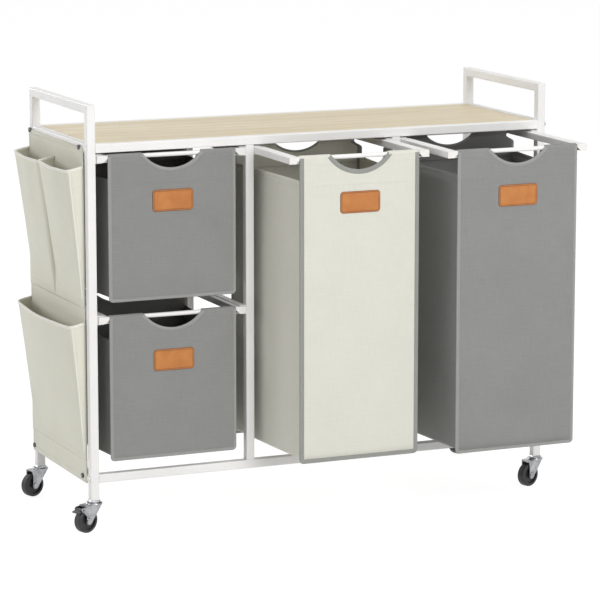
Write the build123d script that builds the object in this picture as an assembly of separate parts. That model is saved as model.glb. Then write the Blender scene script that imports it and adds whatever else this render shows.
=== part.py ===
from build123d import *
import os
from math import cos, radians, sin

# Laundry sorter on wheels, in millimetres.
# X runs to the right as seen from the front, Y to the back and Z up from the floor.
# Everything is laid out about the middle of the frame, and moved to its origin at the end.

# Frame tubes
TUBE = 18.0             # side of the square tube
TUBE_WALL = 1.5
TUBE_CORNER = 2.0       # outer corner radius of the tube
LEFT_CLEAR = 324.0      # clear width between posts in the left column
MIDDLE_CLEAR = 312.0    # clear width between posts in the middle column
RIGHT_CLEAR = 321.0     # clear width between posts in the right column
FRAME_DEPTH = 356.0     # front face of the front posts to rear face of the rear posts
POST_FOOT = 35.0        # corner posts below the bottom rails
SHELF_TOP_Z = 793.0     # upper face of the top rails and of the shelf board
HANDLE_RISE = 79.0      # top of the handles above the shelf

# Shelf board and the lip that carries it
LIP_WIDTH = 12.0
LIP_THICK = 1.5
SHELF_GAP = 0.5         # gap between the board and the rails
SHELF_EDGE = 1.0        # rounded upper edge of the board

# Runners and hanger frames
SHEET = 1.5             # sheet thickness of the runner channels
RUNNER_DEPTH = 14.0     # how far a runner stands in from its post
RUNNER_PLAY = 0.5       # gap between a side bar and its runner
RUNNER_INSET = 1.0      # runner ends behind the faces of the posts
BAR_WIDTH = 22.0
BAR_HEIGHT = 14.0
BAR_WALL = 1.2
BAR_CORNER = 1.5
BAR_DROP = 2.0          # top of a side bar below the top of its bag
ROD_RADIUS = 4.5
CAP_THICK = 3.0         # flange of an end cap
CAP_CUT = 8.0           # cut lower corner of an end cap
SPIGOT_LENGTH = 8.0     # stub of an end cap inside its bar
SPIGOT_PLAY = 0.2

# Fabric bags
FABRIC = 2.5            # thickness of the stiffened cloth
BAG_DEPTH = 320.0
BAG_PROUD = 4.0         # closed bag in front of the posts
BAG_SIDE_PLAY = 1.0     # gap between the cloth and a side bar
BAG_TOP_GAP = 3.0       # top of the bags below the top rails
BAG_FLOOR_GAP = 26.0    # lower edge of the bags above the bottom rails
STACK_GAP = 27.0        # between the two bags of the left column
SLEEVE_WALL = 1.7
SLEEVE_PLAY = 0.3       # gap between a rod and its sleeve
REAR_SPREAD = 18.0      # edges of the back panel beyond those of the front panel
SHOULDER_GAP = 2.0      # upper corners of the back panel below the runners
SIDE_INSET = 4.0        # side walls in from the edges of the panels
SIDE_DROP = 46.0        # side walls below the top of the bag
SKIRT = 6.0             # front and back panels below the floor of the bag
PANEL_CORNER = 8.0
SCOOP_WIDTH = 130.0
SCOOP_DEPTH = 34.0
PATCH_WIDTH = 88.0
PATCH_HEIGHT = 44.0
PATCH_THICK = 1.6
PATCH_CORNER = 4.0
PATCH_DROP = 99.0       # middle of the patch below the top of the bag
MIDDLE_PULL = 175.0     # how far the middle bag is pulled out at rest
RIGHT_PULL = 217.0      # how far the right bag is pulled out at rest

# Pocket panel on the left end
PANEL_THICK = 2.0
PANEL_TOP_DROP = 8.0    # panel's upper edge below the shelf
PANEL_OVERHANG = 3.0    # panel's lower edge below the bottom rail
PANEL_FRONT_GAP = 2.0   # panel behind the front post
DIVIDER_Y = 15.0        # seam between the two upper pockets
DIVIDER_GAP = 0.6
RIM_DROP = 39.0         # rim of the upper pockets below the panel's upper edge
UPPER_POCKET = 287.0    # height of the upper pockets
LOWER_POCKET = 284.0    # height of the lower pocket
SEAM_RISE = 47.0        # seam of the lower pocket above the panel's lower edge
UPPER_CORNER = 35.0     # how far the corners of the upper pockets stand out at the rim
UPPER_BOW = 7.0         # their outer faces beyond the corners
LOWER_CORNER = 32.0     # corners of the lower pocket
LOWER_BOW = 15.0
POCKET_FOOT = 5.0       # how far the pockets stand out at the bottom seam
POCKET_SHOULDER = 6.0   # slope of a pocket's side along the rim

# Fasteners
SCREW_RADIUS = 3.0
SCREW_PLAY = 0.2
HEAD_RADIUS = 5.0
HEAD_HEIGHT = 3.0
BOLT_REACH = 12.0       # bolt beyond the corner post, inside the rail
SCREW_REACH = 10.0      # panel screw beyond the wall of its rail
SCREW_MARGIN = 22.0     # front panel screws behind the panel's front edge

# Casters
WHEEL_RADIUS = 25.0
WHEEL_WIDTH = 18.0
TREAD_ROUND = 4.0
HUB_RADIUS = 7.0
WEB_WIDTH = 11.0        # wheel thickness between hub and rim
RIM_RADIUS = 18.0       # inner edge of the rim
TRAIL = 22.0            # axle behind the swivel axis
AXLE_RADIUS = 4.0
AXLE_HEAD_RADIUS = 6.0
AXLE_HEAD = 2.0
RUNNING_PLAY = 0.05     # radial clearance of pins that turn
FORK_PLATE = 2.0
FORK_PLAY = 1.0         # gap between the wheel and a fork leg
CROWN_RADIUS = 17.0
CROWN_THICK = 4.5
HOOD_REACH = 29.0       # roof of a fork past the swivel axis, over its wheel
KING_GAP = 3.2          # head of the king pin above the top of the wheel
PIVOT_GAP = 0.4         # gap above and below the crown
KING_RADIUS = 5.0
KING_HEAD_RADIUS = 8.0
KING_HEAD = 2.0
COLLAR_RADIUS = 13.0
COLLAR_THICK = 2.5
PLUG_FLANGE = 2.0
PLUG_LENGTH = 28.0
PLUG_PLAY = 0.1
BOSS_RADIUS = 7.5
BOSS_SLANT = 30.0       # slope across the boss where the leg runs into it
CASTER_TURN = 200.0     # direction in which the wheels trail, from +X

# Brake pedals
PEDAL_ANGLE = 59.0      # pivot around the wheel, up from the trailing side
PEDAL_GAP = 1.2         # between the pedal's hub and the tread
PEDAL_EAR = 4.5
PEDAL_HUB = 3.0
PEDAL_PIN = 2.0
PEDAL_LENGTH = 14.0
PEDAL_FALL = 4.0        # outer end of the pedal below its pivot
PEDAL_PLATE = 2.5
PEDAL_WIDTH = 16.0
PAD_FROM = 4.0          # brake pad along the pedal
PAD_TO = 8.0
PAD_DROP = 3.0

# Derived frame planes
SWIVEL_HEIGHT = KING_GAP + KING_HEAD + CROWN_THICK + COLLAR_THICK + 2 * PIVOT_GAP
CASTER_HEIGHT = 2 * WHEEL_RADIUS + SWIVEL_HEIGHT + PLUG_FLANGE
BOTTOM_RAIL_Z = CASTER_HEIGHT + POST_FOOT
HANDLE_TOP_Z = SHELF_TOP_Z + HANDLE_RISE
TUBE_BORE = TUBE - 2 * TUBE_WALL
BORE_CORNER = max(TUBE_CORNER - TUBE_WALL, TUBE_CORNER / 4)
HALF_WIDTH = (LEFT_CLEAR + MIDDLE_CLEAR + RIGHT_CLEAR) / 2 + 2 * TUBE
INNER_X = HALF_WIDTH - TUBE
FRONT_Y = -FRAME_DEPTH / 2
REAR_Y = FRAME_DEPTH / 2
CORNER_X = HALF_WIDTH - TUBE / 2
POST_Y = (FRAME_DEPTH - TUBE) / 2
MIDDLE_POST_X = {"left": LEFT_CLEAR - INNER_X + TUBE / 2, "right": INNER_X - RIGHT_CLEAR - TUBE / 2}
LEFT_X = LEFT_CLEAR / 2 - INNER_X
MIDDLE_X = (MIDDLE_POST_X["left"] + MIDDLE_POST_X["right"]) / 2
RIGHT_X = INNER_X - RIGHT_CLEAR / 2
TOP_RAIL_Z = SHELF_TOP_Z - TUBE / 2
LOW_RAIL_Z = BOTTOM_RAIL_Z + TUBE / 2
SIDES = {"left": -1, "right": 1}
ENDS = {"front": -1, "rear": 1}

# Derived bag sizes
UPPER_TOP_Z = SHELF_TOP_Z - TUBE - BAG_TOP_GAP
TALL_HEIGHT = UPPER_TOP_Z - BOTTOM_RAIL_Z - TUBE - BAG_FLOOR_GAP
SHORT_HEIGHT = (TALL_HEIGHT - STACK_GAP) / 2
LOWER_TOP_Z = UPPER_TOP_Z - SHORT_HEIGHT - STACK_GAP
SLEEVE_RADIUS = ROD_RADIUS + SLEEVE_PLAY + SLEEVE_WALL
BAR_ROOM = BAG_SIDE_PLAY + BAR_WIDTH + RUNNER_PLAY + SHEET
SHOULDER_DROP = BAR_DROP + BAR_HEIGHT + RUNNER_PLAY + SHEET + SHOULDER_GAP
CLOSED_Y = FRONT_Y - BAG_PROUD

# Each bag: column middle, clear width, top, height and pull at rest
BAGS = {
    "upper_left": (LEFT_X, LEFT_CLEAR, UPPER_TOP_Z, SHORT_HEIGHT, 0.0),
    "lower_left": (LEFT_X, LEFT_CLEAR, LOWER_TOP_Z, SHORT_HEIGHT, 0.0),
    "middle": (MIDDLE_X, MIDDLE_CLEAR, UPPER_TOP_Z, TALL_HEIGHT, MIDDLE_PULL),
    "right": (RIGHT_X, RIGHT_CLEAR, UPPER_TOP_Z, TALL_HEIGHT, RIGHT_PULL),
}
BRAKED = ("front_left", "rear_right")


def block(x0, x1, y0, y1, z0, z1):
    """A box between three pairs of planes."""
    middle = Pos((x0 + x1) / 2, (y0 + y1) / 2, (z0 + z1) / 2)
    return middle * Box(abs(x1 - x0), abs(y1 - y0), abs(z1 - z0))


def outline(*points):
    """A flat face through its corners, whichever way round they are given."""
    following = points[1:] + points[:1]
    turn = sum(a[0] * b[1] - b[0] * a[1] for a, b in zip(points, following))
    return Polygon(*(points if turn > 0 else points[::-1]), align=None)


def rod(start, end, radius):
    """A round bar from one point to another."""
    run = Vector(*end) - Vector(*start)
    return Plane(origin=start, z_dir=run) * extrude(Circle(radius), run.length)


def tube(start, end):
    """A square tube from one point to another, along one axis."""
    outside = RectangleRounded(TUBE, TUBE, TUBE_CORNER)
    inside = RectangleRounded(TUBE_BORE, TUBE_BORE, BORE_CORNER)
    run = Vector(*end) - Vector(*start)
    across = (0, 1, 0) if abs(run.X) > abs(run.Y) else (1, 0, 0)
    return Plane(origin=start, x_dir=across, z_dir=run) * extrude(outside - inside, run.length)


def mitre(piece, y, z, y_side, keep_above):
    """Cut a corner tube on the slope from its outer top corner down and inwards."""
    slope = Plane(origin=(0, y, z), z_dir=(0, y_side, 1) if keep_above else (0, -y_side, -1))
    return split(piece, bisect_by=slope, keep=Keep.TOP)


def corner_post(side, end):
    """A post from its caster up to the slanting joint with the handle."""
    x, y = side * CORNER_X, end * POST_Y
    post = tube((x, y, CASTER_HEIGHT), (x, y, HANDLE_TOP_Z))
    post = mitre(post, end * REAR_Y, HANDLE_TOP_Z, -end, False)
    outer, inner = x + side * TUBE, x - side * TUBE
    for z in (TOP_RAIL_Z, LOW_RAIL_Z):
        post -= rod((outer, y, z), (inner, y, z), SCREW_RADIUS + SCREW_PLAY)
    return post


def handle(side):
    """The bar across the tops of two corner posts."""
    x, z = side * CORNER_X, HANDLE_TOP_Z - TUBE / 2
    bar = tube((x, FRONT_Y, z), (x, REAR_Y, z))
    for end in ENDS.values():
        bar = mitre(bar, end * REAR_Y, HANDLE_TOP_Z, -end, True)
    return bar


def long_rail(end, z):
    return tube((-INNER_X, end * POST_Y, z), (INNER_X, end * POST_Y, z))


def shelf_rail(end):
    """A long top rail with the welded lip under the shelf board."""
    inner_y = REAR_Y - TUBE
    bottom = SHELF_TOP_Z - TUBE
    top = bottom + LIP_THICK
    lip = block(-INNER_X, INNER_X, end * inner_y, end * (inner_y - LIP_WIDTH), bottom, top)
    weld = block(-INNER_X, INNER_X, end * (inner_y + TUBE_CORNER), end * inner_y, bottom, top)
    return long_rail(end, TOP_RAIL_Z) + lip + weld


def side_rail(side, z):
    """A short rail between the posts of one end, with holes for the panel screws on the left."""
    x, reach = side * CORNER_X, REAR_Y - TUBE
    rail = tube((x, -reach, z), (x, reach, z))
    if side < 0:
        rail -= screw_hole(SCREW_FRONT_Y, z)
    return rail


def shelf_board():
    bottom = SHELF_TOP_Z - TUBE + LIP_THICK
    x, y = INNER_X - SHELF_GAP, REAR_Y - TUBE - SHELF_GAP
    board = block(-x, x, -y, y, bottom, SHELF_TOP_Z)
    return fillet(board.faces().sort_by(Axis.Z)[-1].edges(), SHELF_EDGE)


def bag_width(clear):
    return clear - 2 * BAR_ROOM


def placed(name, piece):
    """Move a piece of a bag from the bag's own place to where the bag hangs at rest."""
    x, clear, top, height, pull = BAGS[name]
    return Pos(x, CLOSED_Y - pull, top) * piece


def runners(name):
    """The pair of channels that one bag slides in, open towards the bag."""
    x, clear, top, height, pull = BAGS[name]
    high = top - BAR_DROP + RUNNER_PLAY
    low = top - BAR_DROP - BAR_HEIGHT - RUNNER_PLAY
    front, rear = FRONT_Y + RUNNER_INSET, REAR_Y - RUNNER_INSET
    channels = []
    for side in SIDES.values():
        wall = x + side * clear / 2
        mouth = wall - side * RUNNER_DEPTH
        channel = block(wall, mouth, front, rear, low - SHEET, high + SHEET)
        channels.append(channel - block(wall - side * SHEET, mouth, front, rear, low, high))
    return Compound(channels)


def hanger_frame(clear):
    """Two side bars joined by the front and rear rods, about the bag's own front top middle."""
    bar_x = bag_width(clear) / 2 + BAG_SIDE_PLAY + BAR_WIDTH / 2
    bar_z = -BAR_DROP - BAR_HEIGHT / 2
    outside = RectangleRounded(BAR_WIDTH, BAR_HEIGHT, BAR_CORNER)
    inside = RectangleRounded(BAR_WIDTH - 2 * BAR_WALL, BAR_HEIGHT - 2 * BAR_WALL, BAR_CORNER / 3)
    length = BAG_DEPTH - 2 * CAP_THICK
    inner_x = bar_x - BAR_WIDTH / 2
    frame = None
    for side in SIDES.values():
        start = Plane(origin=(side * bar_x, CAP_THICK, bar_z), x_dir=(1, 0, 0), z_dir=(0, 1, 0))
        bar = start * extrude(outside - inside, length)
        frame = bar if frame is None else frame + bar
    for y in (SLEEVE_RADIUS, BAG_DEPTH - SLEEVE_RADIUS):
        frame += rod((-inner_x, y, -SLEEVE_RADIUS), (inner_x, y, -SLEEVE_RADIUS), ROD_RADIUS)
    return frame


def end_caps(clear):
    """Plastic caps on the four ends of the side bars, with the lower inner corner cut off."""
    bar_x = bag_width(clear) / 2 + BAG_SIDE_PLAY + BAR_WIDTH / 2
    bar_z = -BAR_DROP - BAR_HEIGHT / 2
    spigot_width = BAR_WIDTH - 2 * (BAR_WALL + SPIGOT_PLAY)
    spigot_height = BAR_HEIGHT - 2 * (BAR_WALL + SPIGOT_PLAY)
    half_width, half_height = BAR_WIDTH / 2, BAR_HEIGHT / 2
    caps = []
    for side in SIDES.values():
        for face, into in ((0, 1), (BAG_DEPTH, -1)):
            plane = Plane(origin=(side * bar_x, face, bar_z), x_dir=(side, 0, 0), z_dir=(0, into, 0))
            up = plane.y_dir.Z
            flange = outline(
                (half_width, half_height * up),
                (half_width, -half_height * up),
                (-half_width + CAP_CUT, -half_height * up),
                (-half_width, (-half_height + CAP_CUT) * up),
                (-half_width, half_height * up),
            )
            stub = Rectangle(spigot_width, spigot_height)
            corner = outline(
                (-half_width, -half_height * up),
                (-half_width + CAP_CUT + BAR_WALL, -half_height * up),
                (-half_width, (-half_height + CAP_CUT + BAR_WALL) * up),
            )
            cap = plane * extrude(flange, CAP_THICK)
            caps.append(cap + plane.offset(CAP_THICK) * extrude(stub - corner, SPIGOT_LENGTH))
    return Compound(caps)


def bag_panel(width, spread, height):
    """A panel hung from a sleeve for its rod. Below the side bars it spreads past the sleeve."""
    half = width / 2
    tall = height - SHOULDER_DROP
    plane = Plane(origin=(0, 0, -SHOULDER_DROP - tall / 2), x_dir=(1, 0, 0), z_dir=(0, 1, 0))
    sheet = plane * extrude(RectangleRounded(width + 2 * spread, tall, PANEL_CORNER), FABRIC)
    sheet += block(-half, half, 0, FABRIC, -SHOULDER_DROP - 2 * PANEL_CORNER, -SLEEVE_RADIUS)
    start, end = (-half, SLEEVE_RADIUS, -SLEEVE_RADIUS), (half, SLEEVE_RADIUS, -SLEEVE_RADIUS)
    panel = sheet + rod(start, end, SLEEVE_RADIUS) - rod(start, end, ROD_RADIUS + SLEEVE_PLAY)
    arc = (SCOOP_WIDTH ** 2 / 4 + SCOOP_DEPTH ** 2) / (2 * SCOOP_DEPTH)
    middle = arc - SCOOP_DEPTH
    return panel - rod((0, -SLEEVE_RADIUS, middle), (0, 3 * SLEEVE_RADIUS, middle), arc)


def fabric_bag(clear, height):
    """An open bag, wider at the back: two panels with hand scoops, lower side walls and a floor."""
    width = bag_width(clear)
    front, rear = FABRIC, BAG_DEPTH - FABRIC
    front_x = width / 2 - SIDE_INSET
    rear_x = front_x + REAR_SPREAD
    floor = SKIRT - height
    back = mirror(bag_panel(width, REAR_SPREAD, height), about=Plane.XZ)
    bag = bag_panel(width, 0.0, height) + Pos(0, BAG_DEPTH, 0) * back
    base = outline((-front_x, front), (front_x, front), (rear_x, rear), (-rear_x, rear))
    bag += Pos(0, 0, floor) * extrude(base, FABRIC)
    for side in SIDES.values():
        wall = outline(
            (side * front_x, front),
            (side * rear_x, rear),
            (side * (rear_x - FABRIC), rear),
            (side * (front_x - FABRIC), front),
        )
        bag += Pos(0, 0, floor) * extrude(wall, -SIDE_DROP - floor)
    return bag


def leather_patch():
    face = Plane(origin=(0, 0, -PATCH_DROP), x_dir=(1, 0, 0), z_dir=(0, -1, 0))
    return face * extrude(RectangleRounded(PATCH_WIDTH, PATCH_HEIGHT, PATCH_CORNER), PATCH_THICK)


PANEL_X = -HALF_WIDTH
PANEL_TOP_Z = SHELF_TOP_Z - PANEL_TOP_DROP
PANEL_BOTTOM_Z = BOTTOM_RAIL_Z - PANEL_OVERHANG
UPPER_RIM_Z = PANEL_TOP_Z - RIM_DROP
UPPER_SEAM_Z = UPPER_RIM_Z - UPPER_POCKET
LOWER_SEAM_Z = PANEL_BOTTOM_Z + SEAM_RISE
LOWER_RIM_Z = LOWER_SEAM_Z + LOWER_POCKET
PANEL_FRONT_Y = FRONT_Y + TUBE + PANEL_FRONT_GAP
SCREW_FRONT_Y = PANEL_FRONT_Y + SCREW_MARGIN
SCREW_REAR_Y = POST_Y
PANEL_SCREWS = [(y, z) for y in (SCREW_FRONT_Y, SCREW_REAR_Y) for z in (TOP_RAIL_Z, LOW_RAIL_Z)]


def screw_hole(y, z):
    """A hole through the panel and the outer wall behind it."""
    reach = TUBE_WALL + SCREW_REACH
    return rod((PANEL_X - PANEL_THICK, y, z), (PANEL_X + reach, y, z), SCREW_RADIUS + SCREW_PLAY)


def pocket_panel():
    panel = block(PANEL_X - PANEL_THICK, PANEL_X, PANEL_FRONT_Y, REAR_Y, PANEL_BOTTOM_Z, PANEL_TOP_Z)
    for y, z in PANEL_SCREWS:
        panel -= screw_hole(y, z)
    return panel


def pocket_plan(front, rear, corner, bow, shoulder):
    """A pocket seen from above: two short sides out from the panel and a bowed outer face."""
    x = PANEL_X - PANEL_THICK
    front_corner, rear_corner = (x - corner, front + shoulder), (x - corner, rear - shoulder)
    outer_face = ThreePointArc(front_corner, (x - corner - bow, (front + rear) / 2), rear_corner)
    sides = Polyline(rear_corner, (x, rear), (x, front), front_corner)
    return make_face(sides.edges() + [outer_face])


def pocket_space(front, rear, seam, rim, corner, bow, inset):
    """The flared space of a pocket, drawn in by inset on its outer sides and its foot."""
    rows = []
    for z, share in ((seam + inset, POCKET_FOOT / corner), (rim, 1.0)):
        plan = pocket_plan(
            front + inset, rear - inset, corner * share - inset, bow * share, POCKET_SHOULDER * share
        )
        rows.append(Plane.XY.offset(z) * plan)
    return loft(rows, ruled=True)


def pocket(front, rear, seam, rim, corner, bow):
    """A flared pocket of cloth, open at the rim and backed by the panel."""
    shape = (front, rear, seam, rim, corner, bow)
    return pocket_space(*shape, 0.0) - pocket_space(*shape, FABRIC)


def frame_bolts():
    """Button-head bolts through the corner posts into the ends of the long rails."""
    bolts = []
    for side in SIDES.values():
        outer = side * HALF_WIDTH
        for end in ENDS.values():
            for z in (TOP_RAIL_Z, LOW_RAIL_Z):
                y = end * POST_Y
                plate = PANEL_THICK if (side, end) == (-1, 1) else 0.0
                seat = outer + side * plate
                head = rod((seat, y, z), (seat + side * HEAD_HEIGHT, y, z), HEAD_RADIUS)
                tip = side * (INNER_X - BOLT_REACH)
                bolts.append(head + rod((seat, y, z), (tip, y, z), SCREW_RADIUS))
    return Compound(bolts)


def panel_screws():
    """Screws that hold the front edge of the pocket panel to the left side rails."""
    screws = []
    for z in (TOP_RAIL_Z, LOW_RAIL_Z):
        seat = PANEL_X - PANEL_THICK
        head = rod((seat, SCREW_FRONT_Y, z), (seat - HEAD_HEIGHT, SCREW_FRONT_Y, z), HEAD_RADIUS)
        tip = PANEL_X + TUBE_WALL + SCREW_REACH
        screws.append(head + rod((seat, SCREW_FRONT_Y, z), (tip, SCREW_FRONT_Y, z), SCREW_RADIUS))
    return Compound(screws)


# A caster is drawn about its swivel axis, with the wheel trailing along +X and its axle along Y.
LEG_INNER = WHEEL_WIDTH / 2 + FORK_PLAY
LEG_OUTER = LEG_INNER + FORK_PLATE
COLLAR_Z = CASTER_HEIGHT - PLUG_FLANGE - COLLAR_THICK
CROWN_TOP_Z = COLLAR_Z - PIVOT_GAP
CROWN_LOW_Z = CROWN_TOP_Z - CROWN_THICK
PEDAL_REACH = WHEEL_RADIUS + PEDAL_GAP + PEDAL_HUB
PEDAL_X = TRAIL + PEDAL_REACH * cos(radians(PEDAL_ANGLE))
PEDAL_PIVOT_Z = WHEEL_RADIUS + PEDAL_REACH * sin(radians(PEDAL_ANGLE))
BOSS_X = BOSS_RADIUS * cos(radians(BOSS_SLANT))
BOSS_Z = BOSS_RADIUS * sin(radians(BOSS_SLANT))


def caster_plug():
    """A plug in the foot of a post, with the collar and king pin that the fork turns on."""
    side = TUBE_BORE - 2 * PLUG_PLAY
    plug = Pos(0, 0, CASTER_HEIGHT) * extrude(RectangleRounded(side, side, BORE_CORNER), PLUG_LENGTH)
    flange = block(-TUBE / 2, TUBE / 2, -TUBE / 2, TUBE / 2, CASTER_HEIGHT - PLUG_FLANGE, CASTER_HEIGHT)
    collar = rod((0, 0, COLLAR_Z), (0, 0, COLLAR_Z + COLLAR_THICK), COLLAR_RADIUS)
    head_top = CROWN_LOW_Z - PIVOT_GAP
    pin = rod((0, 0, head_top), (0, 0, COLLAR_Z), KING_RADIUS)
    head = rod((0, 0, head_top - KING_HEAD), (0, 0, head_top), KING_HEAD_RADIUS)
    return plug + flange + collar + pin + head


def fork(braked):
    """A stamped fork: a round crown, a roof over the wheel and two legs down to the axle."""
    crown = rod((0, 0, CROWN_LOW_Z), (0, 0, CROWN_TOP_Z), CROWN_RADIUS)
    crown = fillet(crown.edges().sort_by(Axis.Z)[-1], CROWN_THICK / 2)
    top = CROWN_LOW_Z + FORK_PLATE
    grip = (CROWN_RADIUS ** 2 - LEG_OUTER ** 2) ** 0.5
    leg = outline(
        (-grip, top),
        (HOOD_REACH, top),
        (TRAIL + BOSS_X, WHEEL_RADIUS + BOSS_Z),
        (TRAIL - BOSS_X, WHEEL_RADIUS - BOSS_Z),
    )
    leg += Pos(TRAIL, WHEEL_RADIUS) * Circle(BOSS_RADIUS)
    if braked:
        leg += outline(
            (0, top),
            (PEDAL_X, PEDAL_PIVOT_Z + PEDAL_EAR),
            (PEDAL_X, PEDAL_PIVOT_Z - PEDAL_EAR),
            (TRAIL, WHEEL_RADIUS + BOSS_RADIUS / 2),
        )
        leg += Pos(PEDAL_X, PEDAL_PIVOT_Z) * Circle(PEDAL_EAR)
        leg -= Pos(PEDAL_X, PEDAL_PIVOT_Z) * Circle(PEDAL_PIN + RUNNING_PLAY)
    leg -= Pos(TRAIL, WHEEL_RADIUS) * Circle(AXLE_RADIUS)
    body = crown + block(0, HOOD_REACH, -LEG_OUTER, LEG_OUTER, CROWN_LOW_Z, top)
    for y in (-LEG_INNER, LEG_OUTER):
        plane = Plane(origin=(0, y, 0), x_dir=(1, 0, 0), z_dir=(0, -1, 0))
        body += plane * extrude(leg, FORK_PLATE)
    return body - rod((0, 0, 0), (0, 0, CASTER_HEIGHT), KING_RADIUS + RUNNING_PLAY)


def axle():
    """A riveted axle with a head outside each fork leg."""
    reach = LEG_OUTER + AXLE_HEAD
    pin = rod((TRAIL, -reach, WHEEL_RADIUS), (TRAIL, reach, WHEEL_RADIUS), AXLE_RADIUS)
    for side in SIDES.values():
        seat = (TRAIL, side * LEG_OUTER, WHEEL_RADIUS)
        pin += rod(seat, (TRAIL, side * reach, WHEEL_RADIUS), AXLE_HEAD_RADIUS)
    return pin


def wheel():
    """A solid wheel with a rounded tread, a thinner web and a hub bored for the axle."""
    half, web = WHEEL_WIDTH / 2, WEB_WIDTH / 2
    bore = AXLE_RADIUS + RUNNING_PLAY
    profile = outline(
        (bore, -half),
        (HUB_RADIUS, -half),
        (HUB_RADIUS, -web),
        (RIM_RADIUS, -web),
        (RIM_RADIUS, -half),
        (WHEEL_RADIUS, -half),
        (WHEEL_RADIUS, half),
        (RIM_RADIUS, half),
        (RIM_RADIUS, web),
        (HUB_RADIUS, web),
        (HUB_RADIUS, half),
        (bore, half),
    )
    profile = fillet(profile.vertices().group_by(Axis.X)[-1], TREAD_ROUND)
    return Pos(TRAIL, 0, WHEEL_RADIUS) * revolve(profile, Axis.Y)


def pedal():
    """A brake pedal that turns on stub pins in the fork and presses a pad on the tread."""
    plane = Plane(origin=(PEDAL_X, PEDAL_WIDTH / 2, PEDAL_PIVOT_Z), x_dir=(1, 0, 0), z_dir=(0, -1, 0))
    half = PEDAL_PLATE / 2
    fall = PEDAL_FALL / PEDAL_LENGTH
    side_view = Circle(PEDAL_HUB) + outline(
        (0, half),
        (PEDAL_LENGTH, half - PEDAL_FALL),
        (PEDAL_LENGTH, -half - PEDAL_FALL),
        (PAD_TO, -half - fall * PAD_TO),
        (PAD_TO, -half - fall * PAD_TO - PAD_DROP),
        (PAD_FROM, -half - fall * PAD_FROM - PAD_DROP),
        (0, -half),
    )
    body = plane * extrude(side_view, PEDAL_WIDTH)
    pin_start, pin_end = (PEDAL_X, -LEG_OUTER, PEDAL_PIVOT_Z), (PEDAL_X, LEG_OUTER, PEDAL_PIVOT_Z)
    return body + rod(pin_start, pin_end, PEDAL_PIN)


def at_caster(side, end, piece):
    return Pos(side * CORNER_X, end * POST_Y, 0) * Rot(0, 0, CASTER_TURN) * piece


def build_nodes():
    """Every piece of the sorter by name, at rest."""
    nodes = {}
    for side_name, side in SIDES.items():
        for end_name, end in ENDS.items():
            nodes[f"{end_name}_{side_name}_post"] = corner_post(side, end)
            nodes[f"{end_name}_{side_name}_middle_post"] = tube(
                (MIDDLE_POST_X[side_name], end * POST_Y, BOTTOM_RAIL_Z + TUBE),
                (MIDDLE_POST_X[side_name], end * POST_Y, SHELF_TOP_Z - TUBE),
            )
        nodes[f"{side_name}_handle"] = handle(side)
        nodes[f"{side_name}_top_rail"] = side_rail(side, TOP_RAIL_Z)
        nodes[f"{side_name}_bottom_rail"] = side_rail(side, LOW_RAIL_Z)
    for end_name, end in ENDS.items():
        nodes[f"{end_name}_top_rail"] = shelf_rail(end)
        nodes[f"{end_name}_bottom_rail"] = long_rail(end, LOW_RAIL_Z)
    nodes["shelf_board"] = shelf_board()

    for name, (x, clear, top, height, pull) in BAGS.items():
        nodes[f"{name}_runners"] = runners(name)
        nodes[f"{name}_hanger_frame"] = placed(name, hanger_frame(clear))
        nodes[f"{name}_end_caps"] = placed(name, end_caps(clear))
        nodes[f"{name}_bag"] = placed(name, fabric_bag(clear, height))
        nodes[f"{name}_patch"] = placed(name, leather_patch())

    nodes["pocket_panel"] = pocket_panel()
    nodes["rear_upper_pocket"] = pocket(
        DIVIDER_Y + DIVIDER_GAP / 2, REAR_Y, UPPER_SEAM_Z, UPPER_RIM_Z, UPPER_CORNER, UPPER_BOW
    )
    nodes["front_upper_pocket"] = pocket(
        PANEL_FRONT_Y, DIVIDER_Y - DIVIDER_GAP / 2, UPPER_SEAM_Z, UPPER_RIM_Z, UPPER_CORNER, UPPER_BOW
    )
    nodes["lower_pocket"] = pocket(
        PANEL_FRONT_Y, REAR_Y, LOWER_SEAM_Z, LOWER_RIM_Z, LOWER_CORNER, LOWER_BOW
    )
    nodes["frame_bolts"] = frame_bolts()
    nodes["panel_screws"] = panel_screws()

    plugs = []
    for end_name, end in ENDS.items():
        for side_name, side in SIDES.items():
            name = f"{end_name}_{side_name}"
            plugs.append(Pos(side * CORNER_X, end * POST_Y, 0) * caster_plug())
            nodes[f"{name}_fork"] = at_caster(side, end, fork(name in BRAKED))
            nodes[f"{name}_axle"] = at_caster(side, end, axle())
            nodes[f"{name}_wheel"] = at_caster(side, end, wheel())
            if name in BRAKED:
                nodes[f"{name}_pedal"] = at_caster(side, end, pedal())
    nodes["caster_plugs"] = Compound(plugs)
    return nodes


NODES = build_nodes()
BOUNDS = Compound(list(NODES.values())).bounding_box()
ORIGIN = Vector((BOUNDS.min.X + BOUNDS.max.X) / 2, (BOUNDS.min.Y + BOUNDS.max.Y) / 2, 0)

os.makedirs("parts", exist_ok=True)
for node_name, piece in NODES.items():
    export_step(Pos(-ORIGIN.X, -ORIGIN.Y, 0) * piece, f"parts/{node_name}.step")
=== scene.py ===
# %% [markdown]
# # A laundry sorter on wheels
# The real object is a white steel frame with a wooden shelf, four cloth bags that slide out on
# hanger frames, and a cloth panel of pockets on its left end.
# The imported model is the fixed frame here: its tubes, rods and casters are right as they are and
# only need a finish. Its cloth is a set of plain solids, which sewn pieces take the place of.

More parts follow.
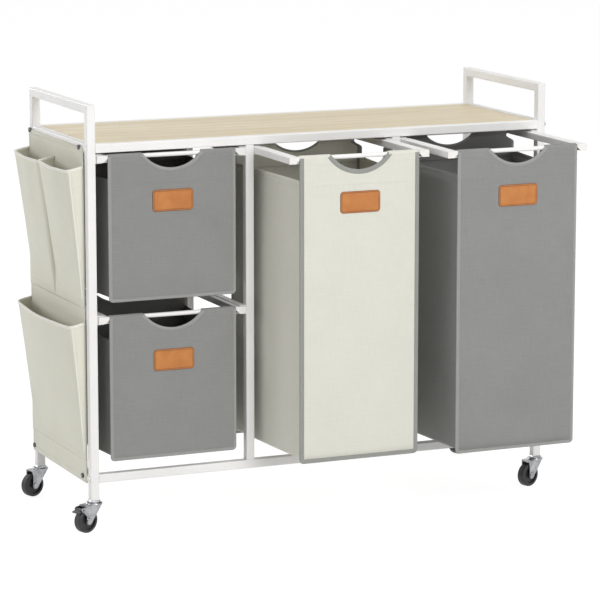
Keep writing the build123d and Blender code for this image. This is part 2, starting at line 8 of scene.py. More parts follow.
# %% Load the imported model
import math
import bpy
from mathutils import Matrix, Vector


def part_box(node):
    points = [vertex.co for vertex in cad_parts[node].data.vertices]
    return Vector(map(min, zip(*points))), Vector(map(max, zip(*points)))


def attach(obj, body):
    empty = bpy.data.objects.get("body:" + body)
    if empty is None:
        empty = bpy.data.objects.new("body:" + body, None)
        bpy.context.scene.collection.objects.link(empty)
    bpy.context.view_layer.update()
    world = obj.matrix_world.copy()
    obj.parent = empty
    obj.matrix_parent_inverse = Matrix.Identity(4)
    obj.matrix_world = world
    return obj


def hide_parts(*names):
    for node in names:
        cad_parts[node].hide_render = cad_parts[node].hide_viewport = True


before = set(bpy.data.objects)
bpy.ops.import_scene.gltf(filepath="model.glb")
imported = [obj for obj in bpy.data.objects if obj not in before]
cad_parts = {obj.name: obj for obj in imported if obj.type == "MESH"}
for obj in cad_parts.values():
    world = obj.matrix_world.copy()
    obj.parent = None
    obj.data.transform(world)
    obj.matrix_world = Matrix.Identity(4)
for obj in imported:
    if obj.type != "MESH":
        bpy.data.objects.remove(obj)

from types import SimpleNamespace

import bmesh
import bpy
import numpy as np
from mathutils import Vector

scene = bpy.context.scene
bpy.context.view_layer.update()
MM = 0.001

# %% [markdown]
# ## The camera
# The photograph was taken from the front left, a little above the shelf, with a long lens: the
# upright posts stay almost parallel. The place, turn and dip below were worked out from the
# corners of the frame. A long lens far away gives that flat look; a short one close by would
# spread the posts apart.

# %% Camera
CAMERA_AT = Vector((-2.5620, -5.8903, 1.5913))
CAMERA_TURN = math.radians(23.499)
CAMERA_DIP = math.radians(10.228)
LENS_MM = 187.1
SENSOR_MM = 36.0
FAR_CLIP = 200.0


def put(name, data, place, way):
    """Stand a camera or a lamp at a place, looking along a direction."""
    made = bpy.data.objects.new(name, data)
    made.location = place
    made.rotation_mode = "QUATERNION"
    made.rotation_quaternion = way.to_track_quat("-Z", "Y")
    scene.collection.objects.link(made)
    return made


look = Vector((
    math.sin(CAMERA_TURN) * math.cos(CAMERA_DIP),
    math.cos(CAMERA_TURN) * math.cos(CAMERA_DIP),
    -math.sin(CAMERA_DIP),
))
camera = put("camera", bpy.data.cameras.new("camera"), CAMERA_AT, look)
camera.data.lens = LENS_MM
camera.data.sensor_width = SENSOR_MM
camera.data.clip_end = FAR_CLIP
scene.camera = camera
scene.view_settings.view_transform = "Standard"
print("camera looks along", tuple(round(v, 3) for v in look))

# %% [markdown]
# ## Finishes: the helpers
# Every finish is a node tree. One helper adds a node, sets it and links it; a node given as an
# input is linked by its first output. Another turns a colour picked as sRGB hex into the linear
# numbers that shaders work in.

# %% Helpers for finishes
def linear(code):
    """A linear colour from an sRGB hex code."""
    parts = [int(code[i:i + 2], 16) / 255 for i in (1, 3, 5)]
    return [p / 12.92 if p <= 0.04045 else ((p + 0.055) / 1.055) ** 2.4 for p in parts] + [1.0]


def node(tree, kind, inputs=None, stops=None, **settings):
    """Add one node to a tree, with its settings, its input values or links, and its colour stops."""
    made = tree.nodes.new(kind)
    for key, value in settings.items():
        setattr(made, key, value)
    for key, value in (inputs or {}).items():
        if isinstance(value, bpy.types.Node):
            value = value.outputs[0]
        if isinstance(value, bpy.types.NodeSocket):
            tree.links.new(value, made.inputs[key])
        else:
            made.inputs[key].default_value = value
    if stops:
        for element, (place, code) in zip(made.color_ramp.elements, stops):
            element.position = place
            element.color = linear(code)
    return made


def blank_finish(name):
    """An empty material and its tree."""
    made = bpy.data.materials.new(name)
    made.use_nodes = True
    made.node_tree.nodes.clear()
    return made, made.node_tree


print("mid grey", [round(v, 3) for v in linear("#808080")])

# %% [markdown]
# ## Floor and light
# Product pictures are lit by large soft lamps in a white room. The floor is a plain white sheet
# that looks white to the camera and to shiny metal, and still takes the shadow of the sorter.
# A low lamp in front looks into the bags. The lamps stay at a level where a colour comes out
# about as it is written.

# %% Floor
FLOOR_SIZE = 80.0
SHADOW_SHARE = 0.35     # how much of the floor's look comes from the light that falls on it
FLOOR_GLOW = 1.36       # level of the rest of its look, which brings the open floor up to white


def looked_along(tree):
    """1 for rays that the camera, a shiny piece or a clear one looks along, and 0 for the others."""
    path = node(tree, "ShaderNodeLightPath")
    seen = path.outputs["Is Camera Ray"]
    for kind in ("Is Glossy Ray", "Is Transmission Ray"):
        seen = node(tree, "ShaderNodeMath", {0: seen, 1: path.outputs[kind]}, operation="MAXIMUM")
    return seen


paper, tree = blank_finish("white_studio_paper")
share = node(tree, "ShaderNodeMath", {0: looked_along(tree), 1: 1 - SHADOW_SHARE}, operation="MULTIPLY")
lit = node(tree, "ShaderNodeBsdfDiffuse", {"Color": linear("#F4F4F4")})
glow = node(tree, "ShaderNodeEmission", {"Color": linear("#FFFFFF"), "Strength": FLOOR_GLOW})
mixed = node(tree, "ShaderNodeMixShader", {0: share, 1: lit, 2: glow})
node(tree, "ShaderNodeOutputMaterial", {"Surface": mixed})

half = FLOOR_SIZE / 2
floor_mesh = bpy.data.meshes.new("floor")
floor_mesh.from_pydata(
    [(-half, -half, 0), (half, -half, 0), (half, half, 0), (-half, half, 0)], [], [(0, 1, 2, 3)])
floor = bpy.data.objects.new("floor", floor_mesh)
floor.data.materials.append(paper)
scene.collection.objects.link(floor)
print("floor", FLOOR_SIZE, "m wide")

# %% Room light and lamps
ROOM_LEVEL = 0.33
LAMPS = {                # place, aim, side in metres, watts
    "key_softbox": ((0.6, -4.7, 4.4), (0.0, -0.1, 0.45), 2.6, 142.0),
    "front_softbox": ((0.9, -5.2, 1.45), (0.1, -0.1, 0.6), 1.4, 50.0),
    "left_softbox": ((-4.2, 0.25, 1.5), (-0.5, -0.1, 0.45), 1.1, 24.0),
    "top_softbox": ((0.2, -0.2, 4.6), (0.0, 0.0, 0.8), 2.4, 37.0),
    "back_softbox": ((-2.2, 4.6, 1.6), (0.0, 0.1, 0.45), 1.6, 60.0),
}

world = bpy.data.worlds.new("white_room")
world.use_nodes = True
scene.world = world
tree = world.node_tree
tree.nodes.clear()
room = node(tree, "ShaderNodeBackground", {"Color": linear("#FFFFFF"), "Strength": ROOM_LEVEL})
white = node(tree, "ShaderNodeBackground", {"Color": linear("#FFFFFF"), "Strength": 1.0})
mixed = node(tree, "ShaderNodeMixShader", {0: looked_along(tree), 1: room, 2: white})
node(tree, "ShaderNodeOutputWorld", {"Surface": mixed})

for name, (place, aim, side, watts) in LAMPS.items():
    lamp = put(name, bpy.data.lights.new(name, "AREA"), place, Vector(aim) - Vector(place))
    lamp.data.shape = "SQUARE"
    lamp.data.size = side
    lamp.data.energy = watts
print("lamps", list(LAMPS))

# %% [markdown]
# ## Powder-coated steel
# The frame is square steel tube under a white epoxy powder coat. The powder melts into a satin
# skin with a faint orange peel. A bump at the peel's size and a small change in roughness keep
# the flats from looking like plain plastic. Real peel is about 1.5 mm wide.

# %% White paint of the frame
PEEL_MM = 1.5
HANDLED_MM = 90.0       # patches that hands have rubbed a little smoother

paint, tree = blank_finish("powder_coated_steel")
place = node(tree, "ShaderNodeTexCoord").outputs["Object"]
peel = node(tree, "ShaderNodeTexNoise", {"Vector": place, "Scale": 1 / (PEEL_MM * MM), "Detail": 1.0})
rubbed = node(tree, "ShaderNodeTexNoise", {"Vector": place, "Scale": 1 / (HANDLED_MM * MM), "Detail": 3.0})
tone = node(tree, "ShaderNodeValToRGB", {0: rubbed}, [(0.3, "#EDECEA"), (0.7, "#F5F4F2")])
satin = node(tree, "ShaderNodeMapRange", {"Value": rubbed, "To Min": 0.34, "To Max": 0.46})
skin = node(tree, "ShaderNodeBump", {"Height": peel, "Strength": 0.06, "Distance": 0.2 * MM})
surface = node(tree, "ShaderNodeBsdfPrincipled", {
    "Base Color": tone, "Roughness": satin, "IOR": 1.5, "Normal": skin})
node(tree, "ShaderNodeOutputMaterial", {"Surface": surface})
print("made", paint.name)

# %% [markdown]
# ## Oak-printed melamine
# The shelf is particle board under a printed oak paper sealed in melamine resin. The print gives
# long pale grain along the board and the resin a low even gloss. Noise stretched along the grain
# draws broad figure and fine pores. Real pores are about 0.4 mm wide, too fine to show from here,
# so they are drawn 1.6 mm wide.

# %% Shelf board
FIGURE_MM = 26.0        # width of the broad grain figure
PORE_MM = 1.6
GRAIN_STRETCH = 0.035   # how slowly the figure changes along the board

oak, tree = blank_finish("oak_printed_melamine")
place = node(tree, "ShaderNodeTexCoord").outputs["Object"]
figure_place, pore_place = (
    node(tree, "ShaderNodeMapping", {
        "Vector": place, "Scale": (GRAIN_STRETCH / (width * MM), 1 / (width * MM), 1 / (width * MM))})
    for width in (FIGURE_MM, PORE_MM))
figure = node(tree, "ShaderNodeTexNoise", {
    "Vector": figure_place, "Scale": 1.0, "Detail": 4.0, "Roughness": 0.55, "Distortion": 0.6})
pores = node(tree, "ShaderNodeTexNoise", {"Vector": pore_place, "Scale": 1.0, "Detail": 2.0})
broad = node(tree, "ShaderNodeValToRGB", {0: figure}, [(0.32, "#D3C3A0"), (0.68, "#E4D9BF")])
fine = node(tree, "ShaderNodeValToRGB", {0: pores}, [(0.34, "#D9CDB4"), (0.50, "#FFFFFF")])
print_colour = node(tree, "ShaderNodeMix", {
    "Factor": 0.55, 6: broad, 7: fine}, data_type="RGBA", blend_type="MULTIPLY")
pressed = node(tree, "ShaderNodeBump", {"Height": pores, "Strength": 0.08, "Distance": 0.2 * MM})
surface = node(tree, "ShaderNodeBsdfPrincipled", {
    "Base Color": print_colour.outputs[2], "Roughness": 0.45, "IOR": 1.5, "Normal": pressed})
node(tree, "ShaderNodeOutputMaterial", {"Surface": surface})
print("made", oak.name)

# %% [markdown]
# ## Moulded polypropylene
# The caps on the hanger bars are injection-moulded white polypropylene with a fine spark texture
# in the mould. It reads duller and a touch warmer than the paint beside it. One noise drives both
# the grain and the gloss, because in the mould both come from the same sparks.

# %% White plastic
SPARK_MM = 0.8          # real sparks are about 0.2 mm wide; drawn coarser to show

plastic, tree = blank_finish("moulded_polypropylene")
place = node(tree, "ShaderNodeTexCoord").outputs["Object"]
spark = node(tree, "ShaderNodeTexNoise", {"Vector": place, "Scale": 1 / (SPARK_MM * MM), "Detail": 2.0})
dull = node(tree, "ShaderNodeMapRange", {"Value": spark, "To Min": 0.46, "To Max": 0.60})
grain = node(tree, "ShaderNodeBump", {"Height": spark, "Strength": 0.10, "Distance": 0.1 * MM})
surface = node(tree, "ShaderNodeBsdfPrincipled", {
    "Base Color": linear("#EEECE8"), "Roughness": dull, "IOR": 1.49, "Normal": grain})
node(tree, "ShaderNodeOutputMaterial", {"Surface": surface})
print("made", plastic.name)

# %% [markdown]
# ## Zinc-plated steel and dark screws
# Caster forks are stamped from sheet steel and zinc plated, which gives a bright bluish grey with
# cloudy patches and fine drawing lines. The screws are the same metal with a dark passivation.
# A metal keeps the default index of refraction and takes its look from colour and roughness.

# %% Metals
CLOUD_MM = 14.0
DRAWN_MM = 0.7          # real lines are about 0.1 mm apart; drawn coarser to show
DRAWN_STRETCH = 0.08    # how slowly the drawing lines change along their length

metals = {}
for metal, low, high, dull_from, dull_to in (
        ("zinc_plated_steel", "#8E8F92", "#B2B3B5", 0.16, 0.30),
        ("dark_zinc_screw_steel", "#4A4B4E", "#66676A", 0.30, 0.48)):
    metals[metal], tree = blank_finish(metal)
    place = node(tree, "ShaderNodeTexCoord").outputs["Object"]
    cloud = node(tree, "ShaderNodeTexNoise", {"Vector": place, "Scale": 1 / (CLOUD_MM * MM), "Detail": 4.0})
    drawn_scale = 1 / (DRAWN_MM * MM)
    drawn_place = node(tree, "ShaderNodeMapping", {
        "Vector": place, "Scale": (drawn_scale, drawn_scale, DRAWN_STRETCH * drawn_scale)})
    drawn = node(tree, "ShaderNodeTexNoise", {"Vector": drawn_place, "Scale": 1.0, "Detail": 2.0})
    tone = node(tree, "ShaderNodeValToRGB", {0: cloud}, [(0.35, low), (0.65, high)])
    dull = node(tree, "ShaderNodeMapRange", {"Value": cloud, "To Min": dull_from, "To Max": dull_to})
    lines = node(tree, "ShaderNodeBump", {"Height": drawn, "Strength": 0.07, "Distance": 0.1 * MM})
    surface = node(tree, "ShaderNodeBsdfPrincipled", {
        "Base Color": tone, "Metallic": 1.0, "Roughness": dull, "Normal": lines})
    node(tree, "ShaderNodeOutputMaterial", {"Surface": surface})
print("made", list(metals))

# %% [markdown]
# ## Moulded black rubber
# The wheels are hard black thermoplastic rubber. It is dull, never quite black, and its tread
# picks up a little pale dust, which noise spreads unevenly.

# %% Rubber of the wheels
DUST_MM = 7.0

rubber, tree = blank_finish("moulded_black_rubber")
place = node(tree, "ShaderNodeTexCoord").outputs["Object"]
dust = node(tree, "ShaderNodeTexNoise", {"Vector": place, "Scale": 1 / (DUST_MM * MM), "Detail": 5.0})
tone = node(tree, "ShaderNodeValToRGB", {0: dust}, [(0.40, "#191919"), (0.75, "#2B2B2C")])
dull = node(tree, "ShaderNodeMapRange", {"Value": dust, "To Min": 0.40, "To Max": 0.58})
surface = node(tree, "ShaderNodeBsdfPrincipled", {"Base Color": tone, "Roughness": dull, "IOR": 1.52})
node(tree, "ShaderNodeOutputMaterial", {"Surface": surface})
print("made", rubber.name)

# %% [markdown]
# ## Finishes on the CAD pieces
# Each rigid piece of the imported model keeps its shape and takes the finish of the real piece.
# Names tell them apart: casters, wheels, screws, caps and shelf are picked out, the rest is paint.

# %% Give the CAD pieces their finishes
FINISH_OF = (
    (("_fork", "_axle", "caster_plugs"), metals["zinc_plated_steel"]),
    (("_wheel",), rubber),
    (("frame_bolts", "panel_screws", "_pedal"), metals["dark_zinc_screw_steel"]),
    (("_end_caps",), plastic),
    (("shelf_board",), oak),
)
for name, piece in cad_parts.items():
    finish = next((f for endings, f in FINISH_OF if name.endswith(endings)), paint)
    piece.data.materials.clear()
    piece.data.materials.append(finish)
print(len(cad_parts), "CAD pieces have a finish")

# %% [markdown]
# ## Woven polyester
# The bags and pockets are Oxford cloth: stiffened polyester in a plain weave, printed on neither
# side. It shows a dry, even face with slight slubs where a thread is thicker, and a soft sheen at
# grazing angles. The weave follows the cut of each piece through its own flat coordinates, which
# every sewn mesh carries as a UV map in metres. Real threads are about 0.5 mm apart, too fine for
# this picture, so they are drawn 2 mm apart.

# %% Cloth finishes
THREAD_MM = 2.0
SLUB_MM = (34.0, 2.4)   # length and width of a slub
MOTTLE_MM = 85.0        # broad change of tone
SLUB_TONE = 0.35        # shares of slubs and mottle in the change of tone
MOTTLE_TONE = 0.3
SLUB_RELIEF = 0.5       # height of a slub beside that of a thread
TAPE_WEAVE = 0.4        # binding tape has a deeper weave than cloth
WAVE_PERIOD = 2 * math.pi / 20      # a wave texture of scale 1 repeats at this distance


def woven(name, low, high, weave_depth=0.22):
    """Plain-woven cloth between two close tones."""
    made, tree = blank_finish(name)
    cut = node(tree, "ShaderNodeUVMap", uv_map="cloth")
    place = node(tree, "ShaderNodeTexCoord").outputs["Object"]
    warp, weft = (
        node(tree, "ShaderNodeTexWave", {"Vector": cut, "Scale": WAVE_PERIOD / (THREAD_MM * MM)},
             bands_direction=way).outputs["Fac"]
        for way in "XY")
    weave = node(tree, "ShaderNodeMath", {0: warp, 1: weft}, operation="MULTIPLY")
    slubs = []
    for length, width in (SLUB_MM, SLUB_MM[::-1]):
        spot = node(tree, "ShaderNodeMapping", {
            "Vector": cut, "Scale": (1 / (length * MM), 1 / (width * MM), 1.0)})
        slubs.append(node(tree, "ShaderNodeTexNoise", {"Vector": spot, "Scale": 1.0, "Detail": 2.0}))
    both = node(tree, "ShaderNodeMath", dict(enumerate(slubs)), operation="ADD")
    mottle = node(tree, "ShaderNodeTexNoise", {"Vector": place, "Scale": 1 / (MOTTLE_MM * MM), "Detail": 2.0})
    blend = node(tree, "ShaderNodeMath", {0: both, 1: SLUB_TONE}, operation="MULTIPLY")
    blend = node(tree, "ShaderNodeMath", {0: mottle, 1: MOTTLE_TONE, 2: blend}, operation="MULTIPLY_ADD")
    tone = node(tree, "ShaderNodeValToRGB", {0: blend}, [(0.35, low), (0.65, high)])
    raised = node(tree, "ShaderNodeMath", {0: both, 1: SLUB_RELIEF, 2: weave}, operation="MULTIPLY_ADD")
    relief = node(tree, "ShaderNodeBump", {"Height": raised, "Strength": weave_depth, "Distance": 0.3 * MM})
    surface = node(tree, "ShaderNodeBsdfPrincipled", {
        "Base Color": tone, "Roughness": 0.86, "IOR": 1.5, "Specular IOR Level": 0.3,
        "Sheen Weight": 0.12, "Sheen Roughness": 0.5, "Normal": relief})
    node(tree, "ShaderNodeOutputMaterial", {"Surface": surface})
    print("made", name)
    return made


grey_cloth = woven("grey_oxford_polyester", "#898987", "#929290")
cream_cloth = woven("cream_oxford_polyester", "#DAD9CE", "#E1E0D5")
pocket_cloth = woven("natural_oxford_polyester", "#DFDECF", "#E6E5D7")
grey_tape = woven("grey_binding_tape", "#93948F", "#9D9E99", TAPE_WEAVE)
pale_grey_tape = woven("pale_grey_binding_tape", "#989896", "#A2A2A0", TAPE_WEAVE)
# Tape for the pocket rims and fold piping: lighter than the cream cloth, a painted highlight on rolled edges
# and folds.
highlight_cream_tape = woven("natural_binding_tape", "#ECEBE0", "#F3F2E9", TAPE_WEAVE)

# %% [markdown]
# ## Sewing thread and leather
# Seams are locked with a spun polyester thread, seen as short raised dashes. The patches are
# vegetable-tanned cowhide: a warm tan with fine creased grain, darker where the cut edge was
# burnished. The darker edge comes from a value stored on the mesh, so it follows the cut.

# %% Thread finishes
TWIST_MM = 0.9          # the real twist is about 0.5 mm long; drawn coarser to show


def spun_thread(name, code, dark):
    """A spun thread with its twist as a fine change of tone."""
    made, tree = blank_finish(name)
    place = node(tree, "ShaderNodeTexCoord").outputs["Object"]
    twist = node(tree, "ShaderNodeTexNoise", {"Vector": place, "Scale": 1 / (TWIST_MM * MM), "Detail": 1.0})
    tone = node(tree, "ShaderNodeValToRGB", {0: twist}, [(0.35, dark), (0.65, code)])
    surface = node(tree, "ShaderNodeBsdfPrincipled", {
        "Base Color": tone, "Roughness": 0.7, "IOR": 1.5, "Sheen Weight": 0.1})
    node(tree, "ShaderNodeOutputMaterial", {"Surface": surface})
    print("made", name)
    return made


grey_thread = spun_thread("grey_sewing_thread", "#A6A6A4", "#8A8A88")
cream_thread = spun_thread("natural_sewing_thread", "#E6E4D8", "#CFCDBF")
brown_thread = spun_thread("brown_waxed_thread", "#7A431F", "#5A2F14")

# %% Leather finish
LEATHER_GRAIN_MM = 1.8  # real grain is about 0.8 mm wide; drawn coarser to show
HIDE_MM = 22.0          # broad change of tone in the hide

leather, tree = blank_finish("vegetable_tanned_leather")
place = node(tree, "ShaderNodeTexCoord").outputs["Object"]
cells = node(tree, "ShaderNodeTexVoronoi", {
    "Vector": place, "Scale": 1 / (LEATHER_GRAIN_MM * MM)}, feature="DISTANCE_TO_EDGE")
hide = node(tree, "ShaderNodeTexNoise", {"Vector": place, "Scale": 1 / (HIDE_MM * MM), "Detail": 5.0})
tan = node(tree, "ShaderNodeValToRGB", {0: hide}, [(0.3, "#B76E31"), (0.7, "#C58040")])
edge = node(tree, "ShaderNodeAttribute", attribute_name="burnish")
burnt = node(tree, "ShaderNodeMix", {
    "Factor": edge.outputs["Fac"], 6: tan, 7: linear("#74401C")}, data_type="RGBA")
creases = node(tree, "ShaderNodeBump", {"Height": cells, "Strength": 0.25, "Distance": 0.25 * MM})
polish = node(tree, "ShaderNodeMapRange", {"Value": hide, "To Min": 0.48, "To Max": 0.64})
surface = node(tree, "ShaderNodeBsdfPrincipled", {
    "Base Color": burnt.outputs[2], "Roughness": polish, "IOR": 1.5, "Normal": creases})
node(tree, "ShaderNodeOutputMaterial", {"Surface": surface})
print("made", leather.name)

# %% [markdown]
# ## Sewn meshes: the helpers
# A sewn piece is a grid of points laid out as the cloth was cut, so its weave and its folds follow
# the cut. A binding tape is a flat section carried along an edge. Stitches are small closed
# spindles set along a line. Grids give full control of scoops, hems and sag, which a simulated
# blanket would lose.

# %% Helpers for cloth
CLOTH = 1.6 * MM            # thickness of the cloth
WELD = 0.01 * MM            # points closer than this become one
SLIVER = 0.005 * MM         # edges shorter than this are taken out


def new_piece(name, points, faces, finish, flat=None):
    """A smooth mesh object from points and faces, with its flat coordinates where there are some."""
    mesh = bpy.data.meshes.new(name)
    mesh.from_pydata([tuple(p) for p in points], [], faces)
    if flat is not None:
        layer = mesh.uv_layers.new(name="cloth")
        for loop in mesh.loops:
            layer.data[loop.index].uv = flat[loop.vertex_index]
    work = bmesh.new()
    work.from_mesh(mesh)
    bmesh.ops.remove_doubles(work, verts=work.verts, dist=WELD)
    bmesh.ops.dissolve_degenerate(work, edges=work.edges, dist=SLIVER)
    bmesh.ops.recalc_face_normals(work, faces=work.faces)
    work.to_mesh(mesh)
    work.free()
    mesh.shade_smooth()
    mesh.materials.append(finish)
    made = bpy.data.objects.new(name, mesh)
    scene.collection.objects.link(made)
    return made


def grid_faces(rows, columns, start=0):
    """The four-sided faces of a grid of points numbered row by row."""
    return [
        (start + r * columns + c, start + r * columns + c + 1,
         start + (r + 1) * columns + c + 1, start + (r + 1) * columns + c)
        for r in range(rows - 1) for c in range(columns - 1)]


def cloth(name, grids, finish):
    """Cloth of real thickness from grids of points and their flat coordinates, welded where they meet."""
    points, flat, faces = [], [], []
    for spots, cut in grids:
        faces += grid_faces(*spots.shape[:2], start=len(points))
        points += list(spots.reshape(-1, 3))
        flat += list(cut.reshape(-1, 2))
    made = new_piece(name, points, faces, finish, flat)
    wall = made.modifiers.new("thickness", "SOLIDIFY")
    wall.thickness = CLOTH
    wall.offset = 0.0
    return made


print("cloth is", CLOTH / MM, "mm thick")

# %% Helpers for tape
def run_along(points):
    """The distance travelled at each point of a path."""
    return np.concatenate([[0.0], np.cumsum(np.linalg.norm(np.diff(points, axis=0), axis=1))])


def tape(name, rings, finish, closed=False):
    """A solid band through rings of section points, one ring at each step along an edge."""
    rings = np.asarray(rings, float)
    around = rings.shape[1]
    looped = np.concatenate([rings, rings[:, :1]], axis=1)
    if closed:
        looped = np.concatenate([looped, looped[:1]], axis=0)
    flat = [(a, b) for a in run_along(looped.mean(axis=1)) for b in run_along(looped[0])]
    faces = grid_faces(*looped.shape[:2])
    if not closed:
        last = (len(looped) - 1) * (around + 1)
        faces.append(tuple(range(around)))
        faces.append(tuple(last + i for i in reversed(range(around))))
    return new_piece(name, looped.reshape(-1, 3), faces, finish, flat)


print("distances round a corner", run_along([(0, 0), (3, 0), (3, 4)]))

# %% Helpers for stitches
STITCH_SIDES = 6
STITCH_FORM = ((0.0, 0.45), (0.2, 1.0), (0.8, 1.0), (1.0, 0.45))    # shares of the length and the radius


def unit(way):
    """A direction with a length of one."""
    return way / np.linalg.norm(way)


def tube_faces(rings, around, start=0):
    """The four-sided faces between rings of points numbered ring by ring."""
    faces = []
    for first in range(start, start + (rings - 1) * around, around):
        for i in range(around):
            a, b = first + i, first + (i + 1) % around
            faces.append((a, b, b + around, a + around))
    return faces


def stitching(name, lines, up, size, finish):
    """Stitches along lines as one piece: up points out of the cloth, size is pitch, length and radius."""
    pitch, length, radius = size
    up, points, faces = np.array(up, float), [], []
    for line in lines:
        line = np.asarray(line, float)
        run = run_along(line)
        for start in np.arange(pitch / 2, run[-1] - length, pitch):
            begin, end = (
                np.array([np.interp(s, run, line[:, k]) for k in range(3)]) for s in (start, start + length))
            side = np.cross(unit(end - begin), up)
            first = len(points)
            for share, wide in STITCH_FORM:
                middle = begin + (end - begin) * share
                for turn in np.arange(STITCH_SIDES) * 2 * math.pi / STITCH_SIDES:
                    points.append(middle + radius * wide * (math.cos(turn) * side + math.sin(turn) * up))
            faces += tube_faces(len(STITCH_FORM), STITCH_SIDES, first)
            faces.append(tuple(first + i for i in reversed(range(STITCH_SIDES))))
            faces.append(tuple(range(len(points) - STITCH_SIDES, len(points))))
    return new_piece(name, points, faces, finish)


print("a stitch has", len(tube_faces(len(STITCH_FORM), STITCH_SIDES)) + 2, "faces")

# %% [markdown]
# ## The bags
# Each real bag is three cuts of cloth: a front panel and a back panel, which fold over the rods of
# the hanger frame, and one long strip that makes a side wall, the floor and the other side wall.
# The panels stand a little past the strip, and binding tape closes the seam between them. The back
# panel is the wider one: it spreads below the side bars, and the walls slant out towards it.
# The shell is lofted along that strip so that it can sag: the walls draw in and droop between the
# panels, the floor hangs, and the panels belly a little.

# %% Measures of a bag
ENDS = {-1: "front", 1: "rear"}
REAR_SPREAD = 18 * MM       # edges of the back panel beyond those of the front panel
BAGS = {            # cloth, binding tape, width of the tape, hem thread, slot
    "upper_left": (grey_cloth, pale_grey_tape, 6 * MM, grey_thread, "grey_fabric"),
    "lower_left": (grey_cloth, pale_grey_tape, 6 * MM, grey_thread, "grey_fabric"),
    "middle": (cream_cloth, grey_tape, 8.5 * MM, cream_thread, "cream_fabric"),
    "right": (grey_cloth, pale_grey_tape, 6 * MM, grey_thread, "grey_fabric"),
}


def bag_measures(name, number):
    """A bag's finishes, and the box of its CAD solid as middle, half width in front, faces and heights."""
    cloth_finish, tape_finish, tape_width, thread, slot_name = BAGS[name]
    low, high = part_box(f"{name}_bag")
    return SimpleNamespace(
        name=name, number=number, cloth=cloth_finish, tape=tape_finish, tape_width=tape_width, thread=thread,
        slot=slot_name, middle=(low.x + high.x) / 2, half=(high.x - low.x) / 2 - REAR_SPREAD,
        front=low.y, rear=high.y, depth=high.y - low.y, top=high.z, height=high.z - low.z)


bags = {name: bag_measures(name, i) for i, name in enumerate(BAGS)}
for bag in bags.values():
    print(bag.name, "bag", [round(v / MM, 1) for v in (2 * bag.half, bag.depth, bag.height)], "mm")

# %% Measures of the fold, the scoop and the shoulder
ROD_DROP = 6.5 * MM         # rods lie this far below the top and behind the face
FOLD_RADIUS = 5.6 * MM      # middle of the cloth round a rod
FACE_DEPTH = ROD_DROP - FOLD_RADIUS
APEX = -ROD_DROP + FOLD_RADIUS
SCOOP_WIDTH = 130 * MM
SCOOP_DEPTH = 34 * MM
SCOOP_RADIUS = (SCOOP_WIDTH ** 2 / 4 + SCOOP_DEPTH ** 2) / (2 * SCOOP_DEPTH)
SCOOP_RISE = SCOOP_RADIUS - SCOOP_DEPTH
MOUTH = math.sqrt(SCOOP_RADIUS ** 2 - (SCOOP_RISE - APEX) ** 2)
SHOULDER_DROP = 20 * MM     # where the back panel starts to spread
SHOULDER_FALL = 14 * MM     # height in which it spreads
print("scoop radius", round(SCOOP_RADIUS / MM, 1), "mm, mouth", round(2 * MOUTH / MM, 1), "mm")

# %% Surface of a panel
BELLY = 2.2 * MM
RIPPLE = 0.35 * MM          # small waves all over a panel, and their length across and down
RIPPLE_ACROSS = 31 * MM
RIPPLE_DOWN = 57 * MM
FLUTTER = 0.5 * MM          # waves at its foot
FLUTTER_ACROSS = 38 * MM
RIPPLE_SHIFT = 1.7          # radians from bag to bag, so that no two are alike
FLUTTER_SHIFT = 2.1


def belly(bag, x, drop):
    """How far a panel stands out at a place: x from its middle, drop from its top (negative down)."""
    up = np.clip(1 + drop / bag.height, 0, 1)
    edge = np.clip(1 - (x / bag.half) ** 2, 0, 1)
    swell = BELLY * edge * np.sin(math.pi * up) ** 0.8
    ripple = RIPPLE * np.sin(x / RIPPLE_ACROSS + RIPPLE_SHIFT * bag.number)
    ripple = ripple * np.sin(drop / RIPPLE_DOWN + bag.number)
    flutter = FLUTTER * np.sin(x / FLUTTER_ACROSS + FLUTTER_SHIFT * bag.number) * (1 - up) ** 3
    return swell + (ripple * np.sin(math.pi * up) + flutter) * edge


def outer_depth(drop):
    """Depth of the outer layer behind the face, where it starts to go round the rod."""
    rise = np.clip(np.asarray(drop, float) + ROD_DROP, 0, FOLD_RADIUS)
    return ROD_DROP - np.sqrt(FOLD_RADIUS ** 2 - rise ** 2)


def shoulder(bag, end, x, drop):
    """How far a place on the back panel lies outside the same place on the front panel."""
    if end < 0:
        return np.zeros_like(x)
    fall = np.clip((-drop - SHOULDER_DROP) / SHOULDER_FALL, 0, 1)
    outer = np.clip((np.abs(x) - MOUTH) / (bag.half - MOUTH), 0, 1)
    return np.sign(x) * REAR_SPREAD * outer * fall ** 2 * (3 - 2 * fall)


def on_bag(bag, end, x, depth, drop):
    """Points in the frame: end is -1 for the front panel and 1 for the back one."""
    x, depth, drop = np.broadcast_arrays(*(np.asarray(v, float) for v in (x, depth, drop)))
    face = bag.front if end < 0 else bag.rear
    across = bag.middle + x + shoulder(bag, end, x, drop)
    return np.stack([across, face - end * (depth - belly(bag, x, drop)), bag.top + drop], axis=-1)


for bag in bags.values():
    print(bag.name, "panel stands out", round(belly(bag, 0.0, -bag.height / 2) / MM, 1), "mm in its middle")

# %% Lines of a panel with its fold, hem and scoop
PANEL_CORNER = 8 * MM
CORNER_COLUMNS = 5          # columns of points in a lower corner, beside the scoop and under it
FLAT_COLUMNS = 9
SCOOP_COLUMNS = 31
HEM_DROP = 66 * MM          # lower edge of the turned-over top
LAYER_GAP = 0.1 * MM        # between two layers of cloth
INNER_DROP = 18 * MM        # below this the turned-over top lies against the face
ROD_LEAVE = -35             # angle at which it leaves the rod, in degrees
OUTER_TURN_POINTS = 9       # points round the rod on the way up and on the way down
INNER_TURN_POINTS = 12


